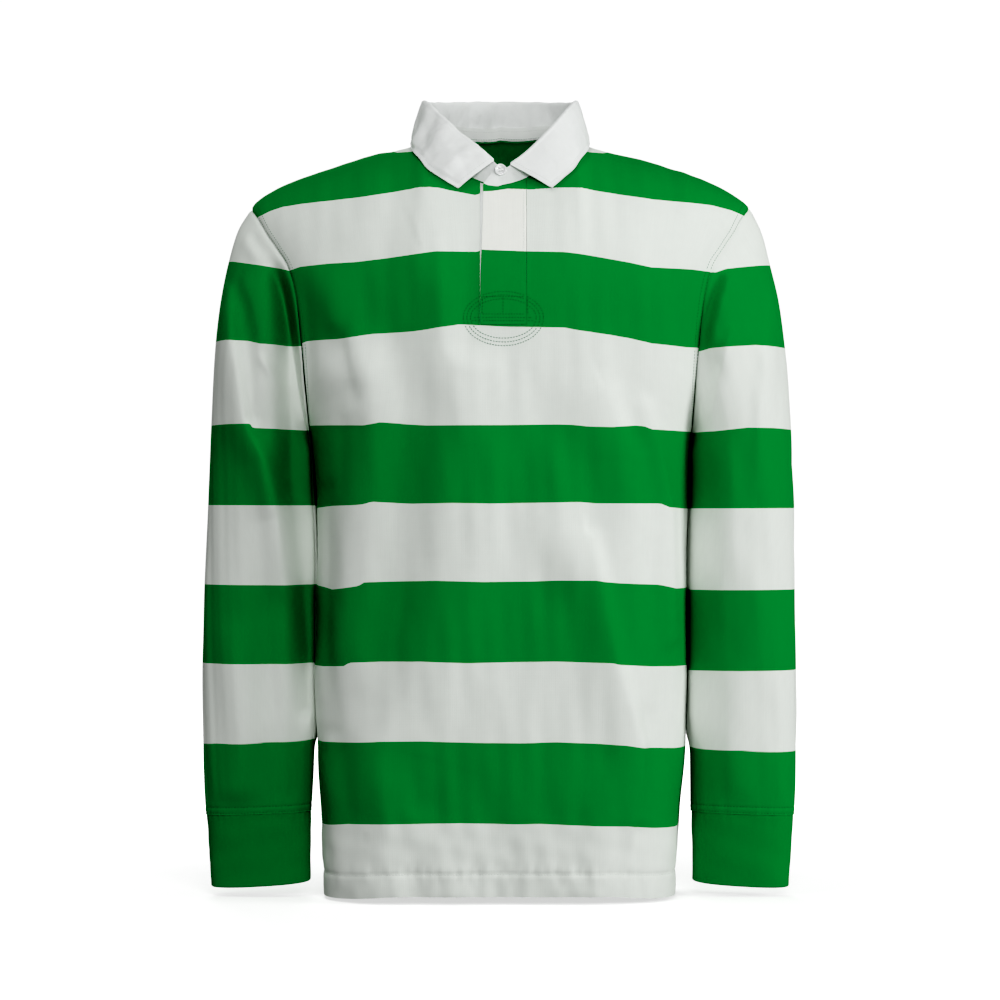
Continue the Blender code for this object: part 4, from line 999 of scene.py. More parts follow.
@dataclass
class Panel:
    """The front or the back of the body."""

    face: Face
    creases: tuple[Crease, ...]
    seed: int
    row_step: float = 0.0031
    column_step: float = 0.0029
    hem_step: float = 0.0018
    cloth: float = 0.0012
    fold_fade: float = 0.016  # how far from the seams the folds are at their full height
    swell: float = 0.0011  # height of the cloth's slow unevenness
    seam_dip: float = 0.0007

    def __post_init__(self) -> None:
        """Works out the cloth's grid."""
        sign = self.face.value
        turn = FORM.hem + FORM.hem_turn
        self.levels = np.concatenate([
            spaced(FORM.hem, turn + 0.004, self.hem_step),
            spaced(turn + 0.004, FORM.underarm, self.row_step)[1:],
            spaced(FORM.underarm, FORM.slot_foot, self.row_step)[1:],
            spaced(FORM.slot_foot, FORM.chest, self.row_step)[1:],
        ])
        self.shares = np.linspace(0.0, 1.0, 66)[1:]
        self.first = int(np.argmin(np.abs(self.levels - FORM.underarm)))
        self.slot_row = int(np.argmin(np.abs(self.levels - FORM.slot_foot)))
        ends = [FORM.chest_length(sign, -1), FORM.chest_length(sign, 1)]
        necks = [FORM.neck_column(sign, -1), FORM.neck_column(sign, 1)]
        inner = (FORM.slot_right, FORM.slot_left) if self.face is Face.FRONT else (0.0,)
        knots = [-ends[0], -ends[0] + 0.012, -necks[0], *inner, necks[1], ends[1] - 0.012, ends[1]]
        columns = [np.array([knots[0]])]
        for a, b in zip(knots, knots[1:]):
            fine = abs(b - a) < 0.0125
            columns.append(spaced(a, b, 0.0015 if fine else self.column_step)[1:])
        self.columns = np.concatenate(columns)
        self.grid = self.drape()
        self.normals = grid_normals(self.grid) * -sign

    def missing(self) -> Array | None:
        """The cells that the placket's slot leaves out."""
        if self.face is Face.BACK:
            return None
        gone = np.zeros((len(self.grid) - 1, len(self.columns) - 1), bool)
        middles = (self.columns[1:] + self.columns[:-1]) / 2
        gone[self.slot_row :, (middles > FORM.slot_right) & (middles < FORM.slot_left)] = True
        return gone

    def edge_distances(self, base: Array) -> tuple[Array, Array, Array]:
        """How far each point is from the side or armhole, from the top and from the hem, along the cloth."""
        run = down_columns(base.swapaxes(0, 1)).T
        return np.minimum(run, run[:, -1:] - run), down_columns(base[::-1])[::-1], down_columns(base)

    def drape(self) -> Array:
        """The outside of the cloth, with its folds."""
        sign = self.face.value
        base = FORM.panel(sign, self.columns, self.levels, self.shares)
        base[..., 1] += sign * FORM.half_gap
        outward = grid_normals(base) * -sign
        side, top, low = self.edge_distances(base)
        self.up = low
        x, z = base[..., 0], base[..., 2]
        lift = all_lifts(self.creases, x / MM, z / MM)
        lift += self.swell * drift(x, z, 0.070, 0.24, self.seed)
        lift += 0.45 * self.swell * drift(x, z, 0.022, 0.075, self.seed + 1)
        lift *= fade(np.minimum(side, top) / self.fold_fade)
        if self.face is Face.FRONT:
            near = np.hypot(np.maximum(np.abs(x - 0.003) - 0.030, 0.0), np.maximum(-0.190 - z, 0.0))
            lift *= 0.25 + 0.75 * fade(near / 0.030)
        near_hem = bell(low - FORM.hem_turn, 0.0085)
        lift += 0.0008 * near_hem * drift(x, z, 0.011, 0.04, self.seed + 2)
        lift += 0.0006 * bell(low - 0.045, 0.030) * drift(x, z, 0.024, 0.030, self.seed + 4)
        lift += 0.0010 * bell(low, 0.016) * drift(x, z * 0, 0.030, 1.0, self.seed + 3)
        lift -= 0.0010 * bell(low - FORM.hem_turn, 0.0018)
        deeper = np.where((x < 0) & (z > FORM.underarm), 2.2, 1.0)
        lift -= self.seam_dip * deeper * bell(np.minimum(side, top), 0.0024) * (z > FORM.vent_top)
        points = base + outward * lift[..., None]
        points[0, :, 2] = FORM.hem
        points[..., 2] -= FORM.dip(points)
        return points

    def stripe(self) -> Array:
        """The stripe number of each point."""
        x, z = self.grid[..., 0], self.grid[..., 2]
        if self.face is Face.FRONT:
            return stripe_number(z, edge_heights(FRONT_STRIPES, x), 0)
        chest = len(self.levels) - 1
        share = np.clip((x + 0.18) / 0.36, 0.0, 1.0)
        low = [(r + (l - r) * share) * MM for r, l in BACK_STRIPES_LOW]
        above = self.up - self.up[chest]
        height = np.where(np.arange(len(x))[:, None] > chest, FORM.chest + above, z)
        high = [np.full_like(x, FORM.chest + h) for h in BACK_STRIPES_HIGH]
        return stripe_number(height, np.stack(high + low, axis=-1), 0)

    def seam_ways(self) -> Array:
        """The normals, turned at the seams so that two pieces meet face to face."""
        ways = self.normals.copy()
        for edge in (0, -1):
            ways[: self.first, edge, 1] = 0.0
            ways[self.first : -1, edge] = armhole_way(
                self.grid[self.first : -1, edge], self.normals[self.first : -1, edge],
            )
        at_neck = np.abs(self.grid[-1, :, 0]) < FORM.neck_half - 1e-4
        ways[-1, ~at_neck, 1] = 0.0
        return unit(ways)

    def make(self, name: str, material: Material) -> Piece:
        """Builds the panel."""
        low = self.up <= FORM.hem_turn + 1e-4
        thick = np.where(low, 2 * self.cloth, self.cloth)
        inside = self.grid - self.seam_ways() * thick[..., None]
        inside[0, :, 2] = self.grid[0, :, 2]
        flat = np.stack([np.broadcast_to(self.columns, self.up.shape), self.up], axis=-1)
        cloth = ClothGrid(self.grid, inside, flat, missing=self.missing(), values={"stripe": self.stripe()})
        return cloth.make(name, material)

    def line_from_edge(self, right: bool, inset: float, first: int, last: int) -> Line:
        """A line on the cloth at a distance from the side or armhole edge, from row first to row last."""
        inward = slice(None, None, 1 if right else -1)
        grid, normals = (g[first:last, inward].swapaxes(0, 1) for g in (self.grid, self.normals))
        return line_across((grid, normals), down_columns(grid), inset, range(last - first))


def armhole_way(seam: Array, own: Array) -> Array:
    """Away from the middle of the armhole, in the plane of the side; low down, the cloth's own normal."""
    way = seam - np.array([0.0, 0.0, (FORM.underarm + FORM.shoulder[-2][1]) / 2])
    way[:, 0] = 0.0
    low = fade((-0.190 - seam[:, 2:]) / 0.050)
    return unit(unit(way) * (1 - low) + own * low)


# ---- placket ----


@dataclass
class Placket:
    """The strip over the opening, whose free edge hides the buttonholes, and the strip below it."""

    front: Panel
    gap: float = 0.0003
    lift: float = 0.0009  # how far the free edge stands off the cloth
    free_edge: float = -0.0163  # x of the free edge at the neck
    tuck: float = 0.0055  # how far the lower strip reaches past the slot, to the wearer's right
    cloth: float = 0.0013
    twill: float = 0.0012
    droop: float = 0.0035  # how much lower the free edge ends at the neck
    stripe_end: float = -0.0186  # where the front's stripes step at the slot's edge
    columns: int = 15

    def strip(self, right: Array, left: Array, sunk: Array) -> Array:
        """A strip over the slot, by the distances of its edges along the cloth and each column's depth."""
        ways = self.front.normals.copy()
        ways[-1, :, 2] = 0.0
        ways = unit(ways)
        rows = []
        for i, r in enumerate(range(self.front.slot_row, len(self.front.grid))):
            at = np.linspace(right[i], left[i], len(sunk))
            place, out = (places_on(g[r], self.front.columns, at) for g in (self.front.grid, ways))
            rows.append(place - out * sunk[:, None])
        strip = np.array(rows)
        strip[0, :, 2] += self.gap
        return strip

    @staticmethod
    def inside(strip: Array, thick: float) -> Array:
        """The inside of a strip, cut level at the neck."""
        ways = grid_normals(strip)
        ways[-1, :, 2] = 0.0
        return strip - unit(ways) * thick

    def make(self, finishes: Wardrobe) -> tuple[Piece, Piece]:
        """Builds both strips."""
        rows = len(self.front.grid) - self.front.slot_row
        up = np.linspace(0.0, 1.0, rows)
        free = FORM.slot_right + self.gap + (self.free_edge - FORM.slot_right) * fade(up / 0.9)
        sewn = np.full(rows, FORM.slot_left - self.gap)
        share = np.linspace(0.0, 1.0, self.columns)
        lift = smooth_curve(np.linspace(0, 1, 5), np.array([1.0, 0.9, 0.6, 0.25, 0.0]))(share)
        over = self.strip(free, sewn, -self.lift * lift)
        hang = self.droop * (1 - fade((over[-1, :, 0] + 0.017) / 0.024))
        steps = 5
        rise = over[-1, :, 2] - over[-1 - steps, :, 2]
        for i in range(steps + 1):
            pull = (hang / rise)[:, None] * (1 - i / steps)
            over[-1 - i] += (over[-1 - steps] - over[-1]) * pull * (1.0 if i < steps else 0.0)
        self.over = over
        along = lengths_along(over[:, 0])
        across = lengths_along(over[0])
        flat = np.stack(np.broadcast_arrays(across[None, :], along[:, None]), axis=-1)
        stripe = stripe_number(
            over[..., 2], edge_heights(FRONT_STRIPES, np.maximum(over[..., 0], self.stripe_end)), 0,
        )
        upper = ClothGrid(over, self.inside(over, self.cloth), flat, values={"stripe": stripe}).make(
            "placket_upper_strip", finishes.strip_jersey,
        )
        right = np.full(rows, FORM.slot_right - self.tuck)
        left = np.full(rows, FORM.slot_left - self.tuck)
        under = self.strip(right, left, np.full(self.columns, self.front.cloth + 2 * self.gap))
        under[-1, :, 2] -= 2 * self.gap
        lower = ClothGrid(under, self.inside(under, self.twill), flat).make(
            "placket_lower_strip", finishes.twill,
        )
        return upper, lower


# ---- sleeves and cuffs ----

# outer x and z, inner x on the wearer's right and left, inner z, half depth, its middle and squareness
SLEEVE_RINGS: tuple[Row, ...] = (
    (0.2415, -0.0563, 0.1835, 0.1850, -0.275, 0.0800, 0.000, 2.0),
    (0.2550, -0.0790, 0.1858, 0.1875, -0.2860, 0.0790, 0.000, 2.0),
    (0.2630, -0.1070, 0.1858, 0.1878, -0.2960, 0.0765, 0.000, 2.0),
    (0.2692, -0.1400, 0.1850, 0.1872, -0.3080, 0.0730, 0.000, 2.05),
    (0.2738, -0.1780, 0.1840, 0.1865, -0.3240, 0.0695, 0.000, 2.1),
    (0.2778, -0.2200, 0.1826, 0.1855, -0.3440, 0.0660, 0.000, 2.1),
    (0.2808, -0.2700, 0.1812, 0.1848, -0.3680, 0.0625, -0.001, 2.15),
    (0.2832, -0.3300, 0.1803, 0.1842, -0.4020, 0.0580, -0.002, 2.2),
    (0.2850, -0.3900, 0.1802, 0.1838, -0.4400, 0.0530, -0.003, 2.2),
    (0.2860, -0.4500, 0.1800, 0.1838, -0.4820, 0.0480, -0.005, 2.25),
    (0.2866, -0.5150, 0.1797, 0.1840, -0.5320, 0.0425, -0.007, 2.3),
    (0.2866, -0.5800, 0.1798, 0.1838, -0.5840, 0.0370, -0.009, 2.35),
    (0.2842, -0.6435, 0.1822, 0.1842, -0.6400, 0.0315, -0.011, 2.4),
)
CUFF_RINGS: tuple[Row, ...] = (
    SLEEVE_RINGS[-1],
    (0.2818, -0.6800, 0.1822, 0.1848, -0.6750, 0.0265, -0.012, 2.4),
    (0.2796, -0.7125, 0.1822, 0.1852, -0.7070, 0.0230, -0.013, 2.4),
)
CUFF_ROWS = (0.0016, 0.0072)  # how far above the cuff's seam the two rows of stitches run


def ring_points(table: tuple[Row, ...], side: Side, turns: Array, at: float) -> Array:
    """Points of a tube: at is the place down the table in rows, and turns those of its points."""
    steps = np.arange(len(table))
    inner = 2 if side is Side.RIGHT else 3
    outer_x, outer_z, inner_x, inner_z, depth, centre, square = (
        float(smooth_curve(steps, np.array([r[k] for r in table]))(at)) for k in (0, 1, inner, 4, 5, 6, 7)
    )
    cosine, sine = (np.sign(v) * np.abs(v) ** (2 / square) for v in (np.cos(turns), np.sin(turns)))
    x = (outer_x + inner_x) / 2 + (outer_x - inner_x) / 2 * cosine
    z = (outer_z + inner_z) / 2 + (outer_z - inner_z) / 2 * cosine
    return np.stack([side.value * x, centre - depth * sine, z], axis=1)


@dataclass
class Sleeve:
    """A long sleeve: a tube sewn into the armhole, which ends at the cuff's seam."""

    side: Side
    front: Panel
    back: Panel
    creases: tuple[Crease, ...]
    seed: int
    columns: int = 84  # half of the columns, front and back alike
    rows: int = 186
    fine_end: float = 0.26  # the last part of the rings' table, where the rows stand closer
    fine_rows: int = 18
    cloth: float = 0.0012
    swell: float = 0.0011
    seam_dip: float = 0.0008
    rest_end: float = -0.588  # the height down to which the sleeve rests against the body
    clear: float = 0.0007  # how far it stays off the body

    def __post_init__(self) -> None:
        """Works out the sleeve's grid."""
        edge = 0 if self.side is Side.RIGHT else -1
        down = self.front.grid[self.front.first :, edge][::-1].copy()
        up = np.concatenate([self.back.grid[self.back.first :, edge], down[:1]])
        down[0, 1] = down[-1, 1] = 0.0
        up[0], up[-1] = down[-1], down[0]
        shares = np.linspace(0, 1, self.columns + 1)[:-1]
        seams = ((line, lengths_along(line)) for line in (down, up))
        self.loop = np.concatenate([places_on(line, along / along[-1], shares) for line, along in seams])
        self.turns = np.arange(2 * self.columns) * pi / self.columns
        self.grid = self.drape()
        self.normals = grid_normals(self.grid, closed=True) * self.side.value

    def drape(self) -> Array:
        """The outside of the sleeve, with its folds."""
        hand = self.side.value
        last = len(SLEEVE_RINGS) - 1
        hem = last - self.fine_end
        places = hem * np.linspace(0.0, 1.0, self.rows + 1) ** 1.12
        places = np.concatenate([places, np.linspace(hem, last, self.fine_rows + 1)[1:]])
        rings = np.array([ring_points(SLEEVE_RINGS, self.side, self.turns, at) for at in places])
        near = 1 - fade(places / 5.0)
        rings = rings + near[:, None, None] * (self.loop - rings[0])[None]
        rings[..., 0] += hand * 0.00045 * (1 - fade(places / 2.0))[:, None]
        # the hanging arm presses the sleeve's inner side against the body, most of all behind
        degrees = np.degrees(self.turns)[None]
        pressed = 0.018 * bell(degrees - 212, 24) + 0.006 * bell(degrees - 148, 20)
        held = fade((-0.268 - rings[..., 2]) / 0.030) * fade((rings[..., 2] - self.rest_end) / 0.045)
        rings[..., 0] -= hand * pressed * held
        self.down = down = down_columns(rings)
        out, z = hand * rings[..., 0], rings[..., 2]
        ahead = np.broadcast_to(np.sin(self.turns) > 0, z.shape)
        here, behind = (all_lifts(c, out / MM, z / MM) for c in (self.creases, SLEEVE_BACK_CREASES))
        folds = np.where(ahead, here, behind)
        folds *= fade(np.abs(np.sin(self.turns)) / 0.40)[None]
        round_cloth = degrees * 0.001 + 0 * down
        inner_side = 1 - 0.9 * np.clip(-np.cos(self.turns), 0.0, 1.0)[None] ** 2
        lift = self.swell * drift(round_cloth, z, 0.060, 0.20, self.seed) * inner_side
        lift += 0.4 * self.swell * drift(round_cloth, z, 0.022, 0.08, self.seed + 1) * inner_side
        end = down[-1:] - down
        free = fade(down / 0.022) * fade(end / 0.028)
        lift *= free
        lift -= self.seam_dip * bell(down, 0.0030)
        for row in CUFF_ROWS:
            lift -= 0.0004 * bell(end - row, 0.0011)
        lift += 0.0003 * bell(end, 0.014) * drift(round_cloth, z * 0, 0.009, 1.0, self.seed + 2)
        outward = grid_normals(rings, closed=True) * hand
        # folds rise forward and backward, not sideways, so that the sleeve keeps its outline
        level = np.stack([0 * z, np.where(ahead, -1.0, 1.0), 0 * z], axis=-1)
        high = fade((z + 0.26) / 0.08)[..., None]
        forward = unit(outward * np.array([0.02, 1.0, 0.6]) * high + level * (1 - high))
        points = rings + outward * lift[..., None] + forward * (folds * free)[..., None]
        beside = FORM.side_reach(hand, points[..., 1], points[..., 2]) + self.clear
        kept = np.maximum(hand * points[..., 0], beside)
        points[..., 0] = np.where(points[..., 2] < FORM.underarm, hand * kept, points[..., 0])
        return points

    def stripe(self) -> Array:
        """The stripe number of each point. Behind, each edge runs straight between its ends in front."""
        out, z = np.abs(self.grid[..., 0]), self.grid[..., 2]
        edges, ends = SLEEVE_STRIPES[self.side], np.array([0.186, 0.284])
        behind = np.stack([np.interp(out, ends, edge.height(ends)) for edge in edges], axis=-1)
        ahead = np.sin(self.turns)[:, None] > 0
        return stripe_number(z, np.where(ahead, edge_heights(edges, out), behind), 1)

    def make(self, name: str, material: Material) -> Piece:
        """Builds the sleeve."""
        out = self.normals.copy()
        out[0] = armhole_way(self.grid[0].copy(), out[0])
        wrapped = np.concatenate([self.grid, self.grid[:, :1]], axis=1)
        middle = wrapped[len(wrapped) // 2]
        around = lengths_along(middle)
        down = np.concatenate([self.down, self.down[:, :1]], axis=1)
        flat = np.stack([np.broadcast_to(around, down.shape), -down], axis=-1)
        cloth = ClothGrid(
            self.grid, self.grid - out * self.cloth, flat, closed=True, values={"stripe": self.stripe()},
        )
        return cloth.make(name, material)

    def line_round(self, from_end: float) -> Line:
        """A line round the sleeve at a distance from its lower end."""
        columns = [*range(self.grid.shape[1]), 0]
        return line_across((self.grid, self.normals), self.down - self.down[-1], -from_end, columns)


@dataclass
class Cuff:
    """A cuff: a double band of jersey under the sleeve's end."""

    side: Side
    seed: int
    columns: int = 150
    rows: int = 44
    step: float = 0.0010
    sag: float = 0.0022  # how much lower the foot hangs in front than behind, from its middle
    wall: float = 0.0019
    gap: float = 0.0003

    def make(self, name: str, material: Material) -> Piece:
        """Builds the cuff, with a soft rolled edge at its foot."""
        turns = np.arange(self.columns) * 2 * pi / self.columns
        places = np.concatenate([np.linspace(0.0, 1.9, self.rows), np.linspace(1.9, 2.0, 7)[1:]])
        rings = np.array([ring_points(CUFF_RINGS, self.side, turns, at) for at in places])
        rings[0, :, 2] -= self.gap
        rings[..., 2] -= self.sag * fade(places / 2.0)[:, None] * np.sin(turns)
        out = grid_normals(rings, closed=True) * self.side.value
        flat_way = out.copy()
        flat_way[..., 2] = 0.0
        flat_way = unit(flat_way)
        down = down_columns(rings)
        end = down[-1:] - down
        degrees = np.degrees(turns)[None] * 0.0007 + 0 * down
        lift = -np.where(down < 0.0001, self.step, self.step * 0.8)
        lift += 0.00045 * drift(degrees, down, 0.040, 0.05, self.seed) * fade(down / 0.012)
        lift += 0.00025 * bell(down, 0.010) * drift(degrees, down * 0, 0.006, 1.0, self.seed + 1)
        points = rings + flat_way * lift[..., None]
        round_over = 0.0008 * (1 - np.sqrt(np.clip(1 - (1 - np.clip(end / 0.0016, 0, 1)) ** 2, 0, 1)))
        outside = points - flat_way * round_over[..., None]
        inside = points - flat_way * (self.wall - round_over)[..., None]
        around = lengths_along(np.concatenate([points[3], points[3, :1]]))
        wrapped = np.concatenate([down, down[:, :1]], axis=1)
        flat = np.stack([np.broadcast_to(around, wrapped.shape), -wrapped], axis=-1)
        return ClothGrid(outside, inside, flat, closed=True).make(name, material)


# ---- collar ----


@dataclass
class Collar:
    """One folded piece of twill: a stand sewn to the neck, and a leaf that falls outward from the fold.

    Turns round the neck are degrees, 0 at the front and growing towards the wearer's left.
    """

    front: Panel
    back: Panel
    over: Array
    twill: float = 0.0012
    gap: float = 0.0003
    stand_half: float = 0.0721
    stand_back: float = 0.0586
    stand_lean: float = 0.20
    fold_back: float = 0.0520
    fold_radius: float = 0.0026
    lap: float = 0.0011  # how far each end of the stand makes way for the other, within so many degrees
    lap_turn: float = 30.0
    tab_low: float = -13.5  # where the upper end stops, at the seam and at the fold
    tab_high: float = -6.5
    leaf_left: float = 7.6  # where the leaf starts and ends
    leaf_right: float = 355.3
    under_end: float = 369.0  # where the lower end stops
    bow: float = 0.0008  # how far the leaf bulges between the fold and its edge
    clear: float = 1.024  # how far out the leaf lies, as a share of the body's reach
    row_inset: float = 0.0045  # how far the row of stitches lies from the leaf's edge
    degree: float = 0.0014  # the cloth round the leaf for each degree of turn
    steps: int = 230
    # share of the half width, and the fold's height there on the wearer's right and left
    front_fold: tuple[Row, ...] = (
        (0.000, -0.0212, -0.0275), (0.078, -0.0160, -0.0225), (0.286, -0.0028, -0.0110),
        (0.584, 0.0158, 0.0105), (1.000, 0.0470, 0.0470),
    )
    # share of the way from its front end to the middle of the back, and the leaf's edge: right, left, y, z
    leaf_edge: tuple[Row, ...] = (
        (0.000, 0.0398, 0.0493, -0.0965, -0.0445), (0.074, 0.0569, 0.0605, -0.0900, -0.0341),
        (0.150, 0.0714, 0.0722, -0.0800, -0.0235), (0.331, 0.0857, 0.0857, -0.0385, -0.0035),
        (0.480, 0.0870, 0.0870, 0.0000, 0.0045), (0.620, 0.0810, 0.0810, 0.0370, 0.0025),
        (0.800, 0.0520, 0.0520, 0.0680, -0.0030), (1.000, 0.0000, 0.0000, 0.0830, -0.0060),
    )

    def seam(self, turn: Array, upper: bool = False) -> Array:
        """Points of the neck seam; upper follows the top of the upper strip where there is one."""
        x, ahead = FORM.neck_half * np.sin(turn), (np.cos(turn) > 0)[:, None]
        front, back, over = (
            places_on(top, top[:, 0], x) for top in (self.front.grid[-1], self.back.grid[-1], self.over[-1])
        )
        points = np.where(ahead, front, back)
        if upper:
            points = np.where(ahead & (x < self.over[-1, -1, 0])[:, None], over, points)
        points[:, 0] = x
        return points

    @staticmethod
    def outward(turn: Array) -> Array:
        """The level direction away from the neck."""
        across, ahead = FORM.neck_front * np.sin(turn), FORM.neck_half * np.cos(turn)
        return unit(np.stack([across, -ahead, 0 * turn], axis=-1))

    def stand_top(self, turn: Array, hand: Array) -> Array:
        """The outside of the stand just under the fold."""
        share = np.where(np.sin(turn) * hand < 0, 0.0, np.abs(np.sin(turn)))
        right, left = table_curve(self.front_fold, 0, 1)(share), table_curve(self.front_fold, 0, 2)(share)
        back = self.fold_back + (self.front_fold[-1][2] - self.fold_back) * np.sin(turn) ** 2
        z = np.where(np.cos(turn) > 0, np.where(hand < 0, right, left), back) - self.fold_radius
        across = FORM.neck_half * np.sin(turn)
        foot = FORM.chest + (FORM.ridge[-1](np.abs(across)) - FORM.chest) * np.sin(FORM.lean_to(-1, across))
        reach = np.where(np.cos(turn) > 0, FORM.neck_front - self.stand_lean * (z - foot), self.stand_back)
        return np.stack([self.stand_half * np.sin(turn), -reach * np.cos(turn), z], axis=-1)

    def edge_points(self, turns: Array) -> Array:
        """The leaf's edge for lines that leave the fold at these turns, in degrees."""
        left = turns <= 180.0
        start = np.where(left, self.leaf_left, 360.0 - self.leaf_right)
        share = (np.where(left, turns, 360.0 - turns) - start) / (180.0 - start)
        on_right, on_left, y, z = (table_curve(self.leaf_edge, 0, k)(share) for k in range(1, 5))
        return np.stack([np.where(left, on_left, -on_right), y, z], axis=-1)

    def clear_of_panels(self, points: Array) -> Array:
        """Points moved out, where they need it, to lie over the front and back."""
        moved = points.copy()
        for face in (-1, 1):
            mine = points[:, 1] * face > 0
            x, y, z = points[mine].T
            depth = FORM.bulge(face, 1, x, -0.03)
            rise = FORM.ridge[face](np.abs(x)) - FORM.chest
            far = np.hypot(y / depth, (z - FORM.chest) / rise)
            grow = np.where(far < self.clear, self.clear / far, 1.0)
            moved[mine, 1] = y * grow
            moved[mine, 2] = FORM.chest + (z - FORM.chest) * grow
        return moved

    def __post_init__(self) -> None:
        """Works out the collar's grid, from the neck seam to the leaf's edge."""
        ends = 12
        leaf = np.linspace(self.leaf_left, self.leaf_right, self.steps + 1)
        under = np.linspace(self.leaf_right, self.under_end, ends + 1)[1:]
        self.low, self.high = (
            np.concatenate([np.linspace(tab, self.leaf_left, ends + 1)[:-1], leaf, under])
            for tab in (self.tab_low, self.tab_high)
        )
        self.leaf = slice(ends, ends + len(leaf))
        low_turn, high_turn = np.radians(self.low), np.radians(self.high)
        lap_out = self.lap * (1 - fade((self.low - self.leaf_left) / self.lap_turn))
        lap_in = self.lap * fade((self.low - self.leaf_right + self.lap_turn) / self.lap_turn)
        outward = self.outward(high_turn)
        foot = np.where((self.low < 90.0)[:, None], self.seam(low_turn, True), self.seam(low_turn))
        foot = foot - self.outward(low_turn) * (self.twill + lap_in)[:, None]
        foot[:, 2] += self.gap
        top = self.stand_top(high_turn, np.where(self.low < 180.0, 1, -1))
        top = top + outward * (lap_out - lap_in - self.twill)[:, None]
        centre = top + outward * self.fold_radius
        rows = [foot + (top - foot) * share for share in np.linspace(0.0, 1.0, 13)[:-1]]
        for swing in np.linspace(0.0, pi, 13):
            rise = np.array([0.0, 0.0, self.fold_radius * sin(swing)])
            rows.append(centre - outward * self.fold_radius * cos(swing) + rise)
        start = rows[-1]
        edge = start.copy()
        edge[self.leaf] = self.edge_points(self.low[self.leaf])
        bow = outward + np.array([0.0, 0.0, 0.6])
        self.stand_rows = 13
        for share in np.linspace(0.0, 1.0, 31)[1:]:
            row = start + (edge - start) * share + bow * self.bow * sin(pi * share)
            row[self.leaf] = self.clear_of_panels(row[self.leaf])
            rows.append(row)
        self.grid = np.array(rows)
        self.wrinkle()

    def leaf_ways(self) -> tuple[Array, Array]:
        """The normals of the leaf's columns, which face the neck on the stand, and the level ways to it."""
        inward = -self.outward(np.radians(self.low))
        ways = grid_normals(self.grid[:, self.leaf])
        return ways if float((ways[1] * inward[self.leaf]).sum()) >= 0 else -ways, inward

    def wrinkle(self) -> None:
        """Presses the twill's own soft creases into the leaf and the stand."""
        part = self.grid[:, self.leaf]
        ways, _ = self.leaf_ways()
        down = down_columns(part)
        fold = down[self.stand_rows]
        turn = np.broadcast_to(self.low[self.leaf], down.shape)
        fall = down - fold
        right = turn > 180
        lift = np.zeros(down.shape)
        right_creases = (
            Crease(((318, 4), (322, 22), (334, 40)), 1.5, 5, 7),
            Crease(((306, 8), (309, 26), (318, 46)), -1.4, 5, 5),
            Crease(((296, 2), (300, 24), (304, 48)), 1.5, 5, 6),
            Crease(((286, 6), (289, 28), (292, 44)), -1.2, 5, 5),
            Crease(((276, 2), (278, 22), (282, 40)), 1.1, 5, 6),
            Crease(((336, 14), (330, 30), (326, 48)), -1.1, 5, 5),
            Crease(((345, 10), (340, 24), (342, 40)), 1.0, 4, 4),
        )
        left_creases = (
            Crease(((30, 6), (36, 28), (40, 52)), 0.8, 8, 9),
            Crease(((62, 4), (60, 26), (58, 48)), -0.8, 8, 8),
            Crease(((80, 4), (78, 24), (82, 44)), 0.8, 8, 8),
        )
        back_creases = (
            Crease(((186, -32), (184, -12), (181, 4)), -1.6, 3, 5),
            Crease(((156, -30), (152, -12), (150, 4)), 1.4, 4, 5),
            Crease(((205, -28), (208, -12), (204, 2)), -1.0, 5, 5),
            Crease(((172, 8), (168, 28), (174, 48)), 1.0, 6, 6),
            Crease(((200, 8), (206, 28), (202, 48)), -1.0, 6, 6),
        )
        lift += all_lifts(right_creases, turn, fall / MM) * 1.5
        lift += all_lifts(left_creases + back_creases, turn, fall / MM)
        lift += 0.00055 * drift(turn * self.degree, fall, 0.022, 0.03, 71) * np.where(right, 1.7, 0.8)
        lift += 0.00022 * drift(turn * self.degree, fall, 0.008, 0.012, 72) * np.where(right, 2.2, 0.7)
        to_edge = down[-1:] - down
        # the right half of the leaf stands a little off the body, so that it can dent too
        behind = (turn > 262) * fade((turn - 262) / 14)
        lift += 0.0013 * right * behind * fade(fall / 0.010) * fade(to_edge / 0.008)
        # its outline and its fold stay smooth
        lift *= (1 - 0.8 * bell(turn - 272, 15) * (fall > 0)) * (1 - 0.8 * bell(fall, 0.006))
        ends = np.minimum(turn - self.leaf_left, self.leaf_right - turn) * 0.0013
        lift *= fade(down / 0.010) * fade(np.minimum(to_edge, ends) / 0.007 + 0.15)
        lift = np.where(fall > 0.002, np.maximum(lift, -0.0004), lift)
        lift -= 0.00035 * bell(to_edge - self.row_inset, 0.0012) * (fall > 0.004)
        self.grid[:, self.leaf] = part + ways * lift[..., None]

    def make(self, material: Material) -> Piece:
        """Builds the collar. Beyond the leaf's ends only its stand goes on, to cross at the front."""
        ways = np.zeros_like(self.grid)
        ways[:, self.leaf], inward = self.leaf_ways()
        ways[0] = inward
        ways[: self.stand_rows, : self.leaf.start] = inward[: self.leaf.start]
        ways[: self.stand_rows, self.leaf.stop :] = inward[self.leaf.stop :]
        self.ways = ways
        missing = np.zeros((self.grid.shape[0] - 1, self.grid.shape[1] - 1), bool)
        missing[self.stand_rows - 1 :, : self.leaf.start] = True
        missing[self.stand_rows - 1 :, self.leaf.stop - 1 :] = True
        self.down = down_columns(self.grid)
        flat = np.stack([np.broadcast_to(self.low * self.degree, self.down.shape), -self.down], axis=-1)
        return ClothGrid(self.grid, self.grid - ways * self.twill, flat, missing=missing).make(
            "collar_stand_and_leaf", material,
        )

    def leaf_line(self, inset: float) -> Line:
        """A line on the leaf at a distance from its three edges."""
        grid, ways = self.grid[self.stand_rows :, self.leaf], self.ways[self.stand_rows :, self.leaf]
        down = self.down[self.stand_rows :, self.leaf]
        to_edge = down[-1:] - down

